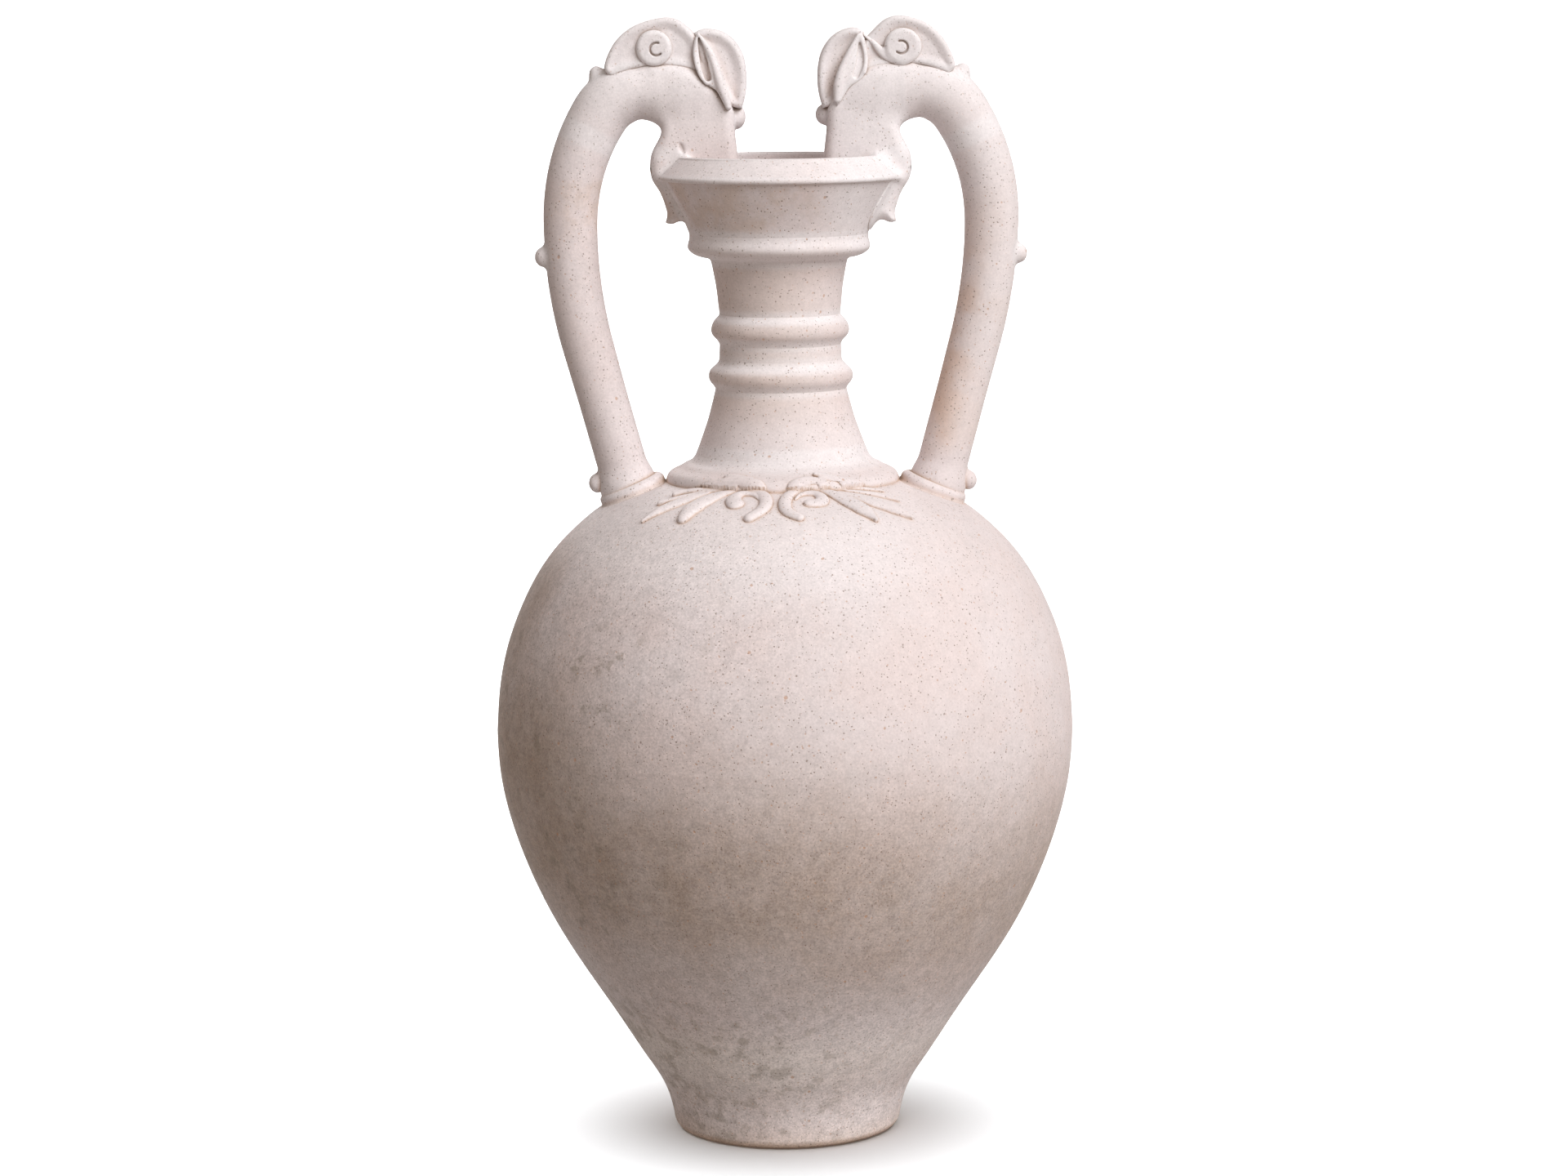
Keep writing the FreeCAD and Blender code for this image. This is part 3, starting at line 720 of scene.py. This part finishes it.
# ---- neck, its rings and the mouth ----
NECK_POINTS = (
    (40.0, SHOULDER_TOP), (35.0, 276.2), (33.0, 281.2), (31.2, 286.0), (29.4, 291.2), (27.9, 296.6),
    (26.9, 300.4), (26.2, 303.8), (25.4, 309.0), (24.7, 314.0), (24.4, 320.0), (24.2, 331.0),
    (24.8, 337.3), (25.5, 343.8), (26.4, 349.0), (27.2, 353.0), (28.0, NECK_TOP),
)
RINGS = {
    "neck_base_ring": (
        (46.9, 264.4), (46.8, 267.4), (45.8, 269.2), (43.6, 270.6), (41.4, 271.6), (39.4, 272.8),
        (37.0, 274.0), (35.2, 276.0), (33.6, 279.0),
    ),
    "neck_ring_lower": (
        (25.9, 301.4), (26.5, 303.3), (27.3, 304.5), (28.4, 305.9), (28.95, 308.3), (28.3, 310.4),
        (26.4, 312.2), (25.2, 313.5), (24.3, 316.0),
    ),
    "neck_ring_upper": (
        (24.0, 319.6), (24.7, 321.4), (25.7, 322.8), (27.0, 324.2), (27.75, 326.4), (27.4, 328.3),
        (26.2, 330.6), (24.8, 332.1), (23.8, 334.0),
    ),
    "mouth_ring": (
        (27.0, 353.6), (28.4, 355.1), (31.0, 355.8), (33.6, 356.6), (35.4, 357.7), (36.6, 359.4),
        (36.5, 361.2), (36.0, 363.0), (35.9, 364.8), (35.8, 367.0),
    ),
}
RING_DEPTH = 3.0  # how far a ring reaches behind its face
CUP_OUTSIDE = ((34.6, 360.5), (35.8, 364.6), (37.9, 369.9), (41.4, 376.6), (45.4, 384.0), (46.8, 386.6))
CUP_INSIDE = ((36.6, 391.0), (34.0, 381.0), (27.5, 368.5), (20.5, 361.0), (BORE_RADIUS, NECK_TOP))


def ring(points):
    """A ring whose face runs through points, sunk into what it goes round."""
    face = dense(points, 60)
    back = [(face[-1][0] - RING_DEPTH, face[-1][1]), (face[0][0] - RING_DEPTH, face[0][1])]
    return lathe(np.concatenate([face, back]))


def neck():
    outer = dense(NECK_POINTS, 150)
    bore = np.stack([np.full(20, BORE_RADIUS), np.linspace(NECK_TOP, SHOULDER_TOP, 20)], axis=1)
    return lathe(np.concatenate([outer, bore]))


# The cup has a crisp lower corner to its lip, a bevel up to the rim, and a rounded rim.
CUP_LINE = np.concatenate([
    [(30.0, NECK_TOP)],
    dense(CUP_OUTSIDE, 50),
    arc((47.7, 387.5), 1.2, -65, 50, 8),
    np.linspace((48.4, 388.5), (41.2, 395.2), 16),
    arc((40.0, 394.3), 1.7, 50, 185, 9),
    dense(CUP_INSIDE, 40),
])


finish_piece(neck(), "neck")
for node, points in RINGS.items():
    finish_piece(ring(points), node)
finish_piece(lathe(CUP_LINE), "mouth_cup")


# ---- handles ----
def bar_line():
    """The centre line of the handle bar, from the shoulder over the arch and into the head."""
    lean = math.radians(BAR_LEAN)
    place = np.array(BAR_FOOT)
    line = [place]
    for step in range(1, 13):
        line.append(place + BAR_STRAIGHT * step / 12 * np.array([math.sin(lean), math.cos(lean)]))
    for radius, turn in BAR_BENDS:
        place = line[-1]
        for step in range(1, 17):
            now = lean - math.radians(turn) * step / 16
            line.append(place + radius * np.array([
                math.cos(now) - math.cos(lean), math.sin(lean) - math.sin(now),
            ]))
        lean -= math.radians(turn)
    line.append(line[-1] + BAR_LENGTH_IN_HEAD * np.array([math.sin(lean), math.cos(lean)]))
    return np.array(line)


JAW_TOP = 397.0  # where the outer jaw meets the head
JAW_LAP = 1.5
LAP_DEPTH = 0.25
CUP_FILLET = 4.0
BAR_LINE = bar_line()
BAR_LENGTH = np.linalg.norm(np.diff(BAR_LINE, axis=0), axis=1).sum()


def bar_field(block):
    """The round bar, and the length along it of the nearest point of its centre line."""
    flat, part = stroke_field(block, BAR_LINE, (0.0, 0.0))
    length = part * BAR_LENGTH
    radius = np.interp(length, *zip(*BAR_RADII))
    return np.hypot(flat, block.y) - radius, length


def head_field(block, side="left"):
    """Skull, cheek, both jaws and the arch, without the crest."""
    cheek = outline_field(block.x, block.z, closed_line(CHEEK_RUNS))
    tube, length = bar_field(block)
    half = HEAD_HALF - 3.0 * ramp(block.x, 38.0, 53.0) * ramp(block.z, 404.0, 414.0)
    solid = join(plate(cheek, block.y, half, 4.2), tube, 7.0)
    corner = stroke_field(block, spline(MOUTH_NICKS[side]), (0.1, 0.5, 0.4))[0]
    nick = np.hypot(np.maximum(corner, 0), np.maximum(HEAD_HALF - 0.5 - np.abs(block.y), 0)) - 0.3
    return meet(solid, -nick, 1.6), length


def sunk_past(value, start, reach=BAR_LAP):
    """Lets a piece dip below its neighbour's surface past the join between them."""
    return LAP_DEPTH * ramp(value, start, start + reach)


def filleted(solid, neighbour, blend):
    """A solid with a fillet onto its neighbour; the fillet's far edge dips into the neighbour."""
    dip = 0.15 * ramp(solid, 0.6 * blend, blend)
    return np.maximum(join(solid, neighbour + dip, blend), solid - blend)


def cup_field(block):
    """Distance to the wall of the cup."""
    return outline_field(np.hypot(block.x, block.y), block.z, CUP_LINE[::3])


def ground_field(block):
    """Height over the shoulder, square to its surface."""
    radius = np.hypot(block.x, block.y)
    ground = np.interp(radius, SHOULDER_LINE[:, 0], SHOULDER_LINE[:, 1])
    slope = np.gradient(SHOULDER_LINE[:, 1], SHOULDER_LINE[:, 0])
    return (block.z - ground) / np.hypot(1, np.interp(radius, SHOULDER_LINE[:, 0], slope))


def carve_handle(side, field, block, shift=0.0):
    """A piece of one handle: mirrored on the left, and moved to the right higher up, and by shift."""
    points, faces = surface_net(field, block)
    if side == "left":
        points[:, 0] *= -1
        faces = faces[:, ::-1]
    points[:, 0] += HANDLE_SHIFT * ramp(points[:, 2], 270.0, 400.0)
    points[:, 0] += shift * ramp(-np.abs(points[:, 0]), -66.0, -48.0)
    return add_mesh(points, faces)


def handle_bar(side):
    block = Block((50, -14, 255), (100, 14, 437))
    solid, length = head_field(block, side)
    flare = 1.6 * (1 - ramp(length, 3.0, 12.0))
    solid = solid - flare + sunk_past(length, BAR_END)
    solid = meet(solid, length - BAR_END - BAR_LAP, 0.5)
    return carve_handle(side, solid, block)


def dragon_head(side):
    block = Block((12, -17, 374), (92, 17, 438))
    solid, length = head_field(block, side)
    solid = solid + sunk_past(-length, -BAR_END)
    solid = meet(solid, BAR_END - BAR_LAP - length, 0.5)
    solid = filleted(solid, cup_field(block), CUP_FILLET)
    outside_lip = np.minimum(JAW_TOP - block.z, block.x - 40.0)
    solid = solid + sunk_past(outside_lip, 0.0, JAW_LAP)
    solid = meet(solid, outside_lip - JAW_LAP, 0.4)
    return carve_handle(side, solid, block)


def dragon_jaw(side):
    block = Block((30, -17, 364), (58, 17, 402))
    solid = filleted(head_field(block, side)[0], cup_field(block), CUP_FILLET)
    solid = solid + sunk_past(block.z, JAW_TOP, JAW_LAP)
    solid = meet(solid, block.z - JAW_TOP - JAW_LAP, 0.4)
    solid = meet(solid, 33.0 + (block.z - 370.0) * 0.26 - block.x, 0.4)
    return carve_handle(side, solid, block)


def dragon_crest(side):
    """The comb: a dished plate with a thick rim, and a root that sinks into the arch."""
    block = Block((22, -12, 420), (74, 12, 453), THIN_VOXEL)
    outline = closed_line(CREST_RUNS)
    flat = outline_field(block.x, block.z, outline)
    rim = 1.0 * (1 - ramp(-flat, 1.4, 5.4))
    root = outline_field(block.x, block.z + 3.0, outline)
    solid = join(plate(flat, block.y, CREST_HALF - 0.9 + rim, 1.7), plate(root, block.y, 5.6, 2.0), 0.5)
    return carve_handle(side, solid, block, CROWN_SHIFT)


def dragon_brow(side):
    """The shell over the snout, hollowed between its rim and the ear."""
    block = Block((11, -12, 412), (36, 12, 448), THIN_VOXEL)
    outline = closed_line(BROW_RUNS)
    outline[:, 0] += BROW_REACH[side] * ramp(outline[:, 0], 24.0, 32.0) * ramp(outline[:, 1], 432.0, 442.0)
    flat = outline_field(block.x, block.z, outline)
    rim = 1.5 * (1 - ramp(-flat, 1.0, 6.0))
    solid = plate(flat, block.y, BROW_HALF - 1.4 + rim, 2.2)
    return carve_handle(side, solid, block, BROW_SHIFT[side])


def eye_spiral(side, face):
    """A coiled disc round a small pellet; on the right its tail sweeps forwards to the ear."""
    low, high = (-13, -4) if face == "front" else (4, 13)
    block = Block((32, low, 426), (60, high, 449), FINE_VOXEL)
    across = block.x - EYE_CENTRE[0]
    up = block.z - EYE_CENTRE[1]
    solid = plate(np.hypot(across, up) - EYE_RADIUS, block.y, CREST_HALF + 1.8, 1.9)
    if side == "right":
        tail, part = stroke_field(block, spline(EYE_TAIL), (2.4, 2.0, 1.3, 0.5))
        solid = join(solid, plate(tail, block.y, CREST_HALF + 1.2 - 0.6 * part, 1.2), 1.2)
    centre = 1.0 if side == "left" else 0.6
    whorl = np.abs(np.hypot(across + centre, up + 0.4) - 2.5) - 0.12
    turned = np.degrees(np.arctan2(up + 0.4, -(across + centre)))
    whorl = whorl + 0.6 * ramp(-np.abs(turned - 12.0), -58.0, -40.0)
    cut = np.hypot(np.maximum(whorl, 0), np.maximum(CREST_HALF + 0.9 - np.abs(block.y), 0)) - 0.22
    solid = meet(solid, -cut, 0.5)
    solid = np.maximum(solid, 6.0 - np.abs(block.y))
    return carve_handle(side, solid, block, EYE_SHIFT)


def ear(side, face):
    """A leaf with a thick ridge along its front and a deep fold behind it."""
    low, high = (-16, -4) if face == "front" else (4, 16)
    block = Block((18, low, 412), (38, high, 448), FINE_VOXEL)
    lines = EARS[side]
    flat = outline_field(block.x, block.z, closed_line(lines["runs"]))
    level = CREST_HALF + lines["proud"] * ramp(-block.z, -440.0, -426.0)
    out = np.abs(block.y) - level
    leaf = plate(flat, block.y, level + 1.4, 1.2)
    ridge, part = stroke_field(block, spline(lines["ridge"]), (0.0, 0.0))
    ridge_radius = np.interp(part, (0, 0.2, 0.6, 0.8, 1), (0.6, 1.2, 1.7, 1.9, 1.3))
    solid = join(leaf, np.hypot(ridge, out - 1.2) - ridge_radius, 0.8)
    back = stroke_field(block, spline(lines["back"]), (0.0, 0.0))[0]
    solid = join(solid, np.hypot(back, out - 0.8) - 0.9, 0.5)
    fold = stroke_field(block, spline(lines["fold"]), (0.0, 0.8, 1.1, 0.9))[0]
    cut = np.hypot(np.maximum(fold, 0), np.maximum(1.9 - lines["depth"] - out, 0)) - 0.4
    solid = meet(solid, -cut, 0.7)
    solid = np.maximum(solid, 6.0 - np.abs(block.y))
    return carve_handle(side, solid, block, CROWN_SHIFT)


def nose_pellet(side):
    block = Block((9, -9, 402), (24, 9, 420), FINE_VOXEL)
    place, radii = NOSE_PELLETS[side]
    solid = ball(block, (place[0], 0, place[1]), radii)
    return carve_handle(side, filleted(solid, head_field(block)[0], 1.2), block)


def boss(side, place, radii):
    """A pellet with a fillet onto the handle."""
    centre = (place[0], 0, place[1])
    reach = max(radii) + 4
    block = Block(np.subtract(centre, reach), np.add(centre, reach), FINE_VOXEL)
    solid = filleted(ball(block, centre, radii), bar_field(block)[0], 2.4)
    return carve_handle(side, solid, block)


COLLAR_CENTRE = (60.2, 261.0)
COLLAR_LEAN = 22.0
COLLAR_RADIUS = 13.8


def handle_collar(side):
    """The cuff: a short tilted disc with a crisp upper edge and a bevelled top."""
    block = Block((42, -18, 246), (80, 18, 276), 0.45)
    lean = math.radians(COLLAR_LEAN)
    x = block.x - COLLAR_CENTRE[0]
    z = block.z - COLLAR_CENTRE[1]
    along = x * math.sin(lean) + z * math.cos(lean)
    out = np.hypot(x * math.cos(lean) - z * math.sin(lean), block.y)
    solid = plate(out - COLLAR_RADIUS, along + 1.0, 5.2, 0.8)
    bevel = (out - 12.8 + along - 3.6) / math.sqrt(2)
    solid = meet(solid, bevel, 0.5)
    return carve_handle(side, filleted(solid, ground_field(block), 0.8), block)


BOSSES = {  # centre on the bar, and radii along each axis
    "crest_boss": ((72.9, 428.6), (2.9, 3.3, 3.3)),
    "handle_boss": ((95.2, 356.2), (3.3, 3.6, 3.9)),
    "foot_boss": ((74.9, 265.0), (3.4, 3.8, 3.9)),
}


def handle(side):
    for make in (handle_collar, handle_bar, dragon_head, dragon_jaw, dragon_crest, dragon_brow):
        finish_piece(make(side), make.__name__ + "_" + side)
    for face in ("front", "back"):
        finish_piece(eye_spiral(side, face), "eye_spiral_" + face + "_" + side)
        finish_piece(ear(side, face), "ear_" + face + "_" + side)
    finish_piece(nose_pellet(side), "nose_pellet_" + side)
    for name, (place, radii) in BOSSES.items():
        finish_piece(boss(side, place, radii), name + "_" + side)


SHOULDER_LINE = dense(SHOULDER_POINTS, 200)[::-1]
for side in ("left", "right"):
    handle(side)


# ---- leaf sprays ----
# Strokes in plan on the front: the centre line, half widths along it, and heights along it.
SPRAYS = {
    "left": (
        (((-29.5, -37.7), (-16.9, -40.9), (-8.4, -48.0), (-6.8, -54.6), (-8.6, -62.0), (-13.3, -67.0)),
         (1.4, 2.3, 2.6, 2.9, 3.0, 2.4), (0.8, 1.3, 1.5, 1.6, 1.7, 2.0)),
        (((-9.4, -52.4), (-11.8, -47.6), (-16.4, -46.2), (-19.4, -50.4), (-18.6, -55.0)),
         (0.8, 1.5, 2.2, 3.3, 3.6), (0.6, 1.2, 1.5, 1.7, 2.0)),
        (((-18.5, -42.4), (-24.9, -43.6), (-31.0, -47.6), (-35.8, -53.2), (-38.8, -58.8)),
         (1.2, 3.4, 4.6, 4.4, 2.6), (0.8, 1.3, 1.7, 2.0, 2.2)),
        (((-29.8, -39.6), (-37.2, -41.9), (-45.8, -45.0), (-50.6, -47.2), (-55.0, -49.6)),
         (1.5, 3.3, 3.6, 2.6, 0.6), (0.8, 1.3, 1.6, 1.7, 1.3)),
        (((-31.4, -37.8), (-37.9, -38.2), (-44.3, -38.9), (-48.4, -38.9)),
         (1.2, 1.8, 1.7, 1.3), (0.7, 1.1, 1.5, 1.7)),
        (((-21.8, -40.2), (-28.9, -37.0), (-36.4, -34.2), (-42.4, -34.0)),
         (1.2, 1.8, 2.0, 1.5), (0.8, 1.2, 1.6, 2.0)),
        (((-10.0, -44.4), (-14.5, -41.6), (-18.6, -38.8), (-22.2, -36.8)),
         (1.0, 1.8, 1.8, 1.0), (0.8, 1.3, 1.5, 1.5)),
    ),
    "right": (
        (((16.2, -42.4), (10.4, -42.9), (4.8, -46.0), (1.4, -51.4), (0.4, -58.4), (2.0, -64.4), (6.1, -67.8)),
         (1.6, 2.2, 2.5, 2.7, 2.8, 2.7, 2.0), (0.8, 1.2, 1.5, 1.7, 1.8, 1.9, 1.9)),
        (((4.6, -53.0), (7.4, -48.4), (12.4, -47.2), (15.0, -50.6), (13.6, -55.4), (9.8, -56.4)),
         (0.6, 1.3, 2.0, 2.7, 3.2, 2.4), (0.6, 1.1, 1.4, 1.6, 1.8, 1.8)),
        (((13.6, -42.6), (20.6, -46.9), (26.3, -52.2), (31.3, -57.2), (35.8, -62.3)),
         (1.6, 3.2, 4.3, 4.0, 1.0), (1.0, 1.6, 2.1, 2.4, 1.8)),
        (((22.0, -43.6), (31.5, -46.3), (38.5, -48.6), (44.5, -50.9), (49.6, -52.8)),
         (1.6, 3.6, 4.5, 3.6, 0.8), (0.8, 1.4, 1.9, 2.2, 1.6)),
        (((25.0, -40.6), (33.0, -39.4), (40.0, -39.4), (45.4, -40.6)),
         (1.0, 1.7, 1.7, 0.6), (0.7, 1.0, 1.2, 1.0)),
        (((14.6, -40.6), (23.4, -38.4), (31.5, -35.4), (39.4, -33.4)),
         (1.2, 1.8, 1.5, 0.6), (0.8, 1.0, 1.1, 0.9)),
        (((24.4, -40.2), (20.4, -39.0), (16.4, -38.8), (12.4, -39.4)),
         (1.0, 1.7, 1.7, 1.0), (0.8, 1.3, 1.5, 1.5)),
    ),
}
BASE_LINE = np.concatenate([
    np.array(RINGS["neck_base_ring"][:0:-1]), SHOULDER_LINE[SHOULDER_LINE[:, 0] > 46.5],
])
SPRAY_VOXEL = 0.32
LEAF_ROOT = 1.0  # how deep the leaves reach into the shoulder
LEVEL_BETWEEN = -1.2  # the height between leaves, which is below their roots
SLOPE_STEP = 0.8  # the distance over which the ground's slope is taken


def spray(strokes, turned_round):
    """Leaves in low relief: steep-sided heights over the plan, laid on the shoulder and the ring."""
    low_x = min(p[0] for s in strokes for p in s[0]) - 5
    high_x = max(p[0] for s in strokes for p in s[0]) + 5
    block = Block((low_x, -1.4, -76), (high_x, 3.2, -28), SPRAY_VOXEL)
    height = np.full((block.shape[0], 1, block.shape[2]), LEVEL_BETWEEN)
    for points, widths, heights in strokes:
        gap, part = stroke_field(block, spline(points, 6), widths)
        half = np.interp(part, np.linspace(0, 1, len(widths)), widths)
        peak = np.interp(part, np.linspace(0, 1, len(heights)), heights)
        dome = np.clip(1 - ((gap + half) / half) ** 2, 0, 1) ** 0.32
        leaf = np.where(gap < 0, -LEAF_ROOT + (peak + LEAF_ROOT) * dome, LEVEL_BETWEEN - gap)
        height = -join(-height, -leaf, 0.2)
    solid = np.maximum(block.y - height, -LEAF_ROOT - block.y) * 0.7
    points, faces = surface_net(solid, block)
    x, rise, y = points.T
    radius = np.hypot(x, y)
    ground = np.interp(radius, BASE_LINE[:, 0], BASE_LINE[:, 1])
    ahead = np.interp(radius + SLOPE_STEP, BASE_LINE[:, 0], BASE_LINE[:, 1])
    slope = (ground - ahead) / SLOPE_STEP
    size = np.hypot(1, slope)
    placed = np.stack([
        x + rise * slope / size * x / radius, y + rise * slope / size * y / radius, ground + rise / size,
    ], axis=1)
    faces = faces[:, ::-1]
    if turned_round:
        placed[:, :2] *= -1
    return add_mesh(placed, faces)


for side, strokes in SPRAYS.items():
    opposite = "right" if side == "left" else "left"
    finish_piece(spray(strokes, False), "spray_front_" + side)
    finish_piece(spray(strokes, True), "spray_back_" + opposite)


# ---- the studio ----
def plain(name, colour, glow):
    """A dull studio material that glows white by the strength glow."""
    material = bpy.data.materials.new(name)
    material.use_nodes = True
    shader = material.node_tree.nodes["Principled BSDF"]
    shader.inputs["Base Color"].default_value = (*colour, 1)
    shader.inputs["Roughness"].default_value = 1.0
    shader.inputs["Specular IOR Level"].default_value = 0.0
    shader.inputs["Emission Color"].default_value = (1, 1, 1, 1)
    shader.inputs["Emission Strength"].default_value = glow
    return material


LAMPS = {  # strength, then in degrees: spread, bearing right of the front, height
    "key": (2.80, 45.0, 40.0, 38.0),
    "low": (0.45, 60.0, 30.0, 3.0),
    "back": (1.3, 30.0, 188.0, 22.0),
}
FLOOR_LAMP = (6.2, 75.0, 0.0, 90.0)
FLOOR_COLOUR = (0.90, 0.93, 0.96)
BACKDROP_COLOUR = (0.9, 0.9, 0.9)
SKY_STRENGTH = 0.34
SKY_TINT = (1.0, 0.87, 0.77)
BACKDROP_RADIUS = 30.0


def group(name, things):
    """A collection that only says which things a lamp lights."""
    made = bpy.data.collections.new(name)
    for thing in things:
        made.objects.link(thing)
    return made


def lamp(name, strength, spread, azimuth, height, lit):
    """A soft distant light from a bearing right of the front and a height, in degrees."""
    light = bpy.data.lights.new(name, "SUN")
    light.energy = strength
    light.angle = math.radians(spread)
    thing = bpy.data.objects.new(name, light)
    bpy.context.scene.collection.objects.link(thing)
    a, h = math.radians(azimuth), math.radians(height)
    away = Vector((math.sin(a) * math.cos(h), -math.cos(a) * math.cos(h), math.sin(h)))
    thing.rotation_euler = away.to_track_quat("Z", "Y").to_euler()
    thing.light_linking.receiver_collection = lit


def stage_piece(name, colour, glow=0.0):
    """The last added primitive becomes a part of the studio that throws no light on the vessel."""
    thing = bpy.context.object
    thing.name = name
    thing.data.materials.append(plain(name, colour, glow))
    thing.visible_diffuse = False
    return thing


def studio(pieces):
    bpy.ops.mesh.primitive_plane_add(size=2 * BACKDROP_RADIUS, location=(0, 0, 0))
    floor = stage_piece("studio_floor", FLOOR_COLOUR)
    bpy.ops.mesh.primitive_uv_sphere_add(segments=48, ring_count=24, radius=BACKDROP_RADIUS)
    backdrop = stage_piece("studio_backdrop", BACKDROP_COLOUR, 1.0)
    backdrop.visible_shadow = False
    backdrop.visible_glossy = False
    scene = bpy.context.scene
    world = bpy.data.worlds.new("studio")
    scene.world = world
    world.use_nodes = True
    background = world.node_tree.nodes["Background"]
    background.inputs["Color"].default_value = (*SKY_TINT, 1)
    background.inputs["Strength"].default_value = SKY_STRENGTH
    vessel = group("vessel", pieces)
    for name, settings in LAMPS.items():
        lamp(name, *settings, vessel)
    lamp("floor_light", *FLOOR_LAMP, group("floor", [floor]))


# ---- the camera ----
CAMERA_DISTANCE = 1.680
CAMERA_HEIGHT = 0.458
AIM_HEIGHT = 0.22156
FOCAL_LENGTH = 96.24
SENSOR_WIDTH = 36.0
ROLL = 0.5


def camera():
    data = bpy.data.cameras.new("camera")
    data.lens = FOCAL_LENGTH
    data.sensor_width = SENSOR_WIDTH
    data.clip_end = 50
    view = bpy.data.objects.new("camera", data)
    bpy.context.scene.collection.objects.link(view)
    view.location = (0, -CAMERA_DISTANCE, CAMERA_HEIGHT)
    aim = (Vector((0, 0, AIM_HEIGHT)) - view.location).to_track_quat("-Z", "Y")
    view.rotation_euler = aim.to_euler()
    view.rotation_euler.rotate_axis("Z", math.radians(-ROLL))
    bpy.context.scene.camera = view


studio(PIECES)
camera()
bpy.context.scene.view_settings.view_transform = "Standard"
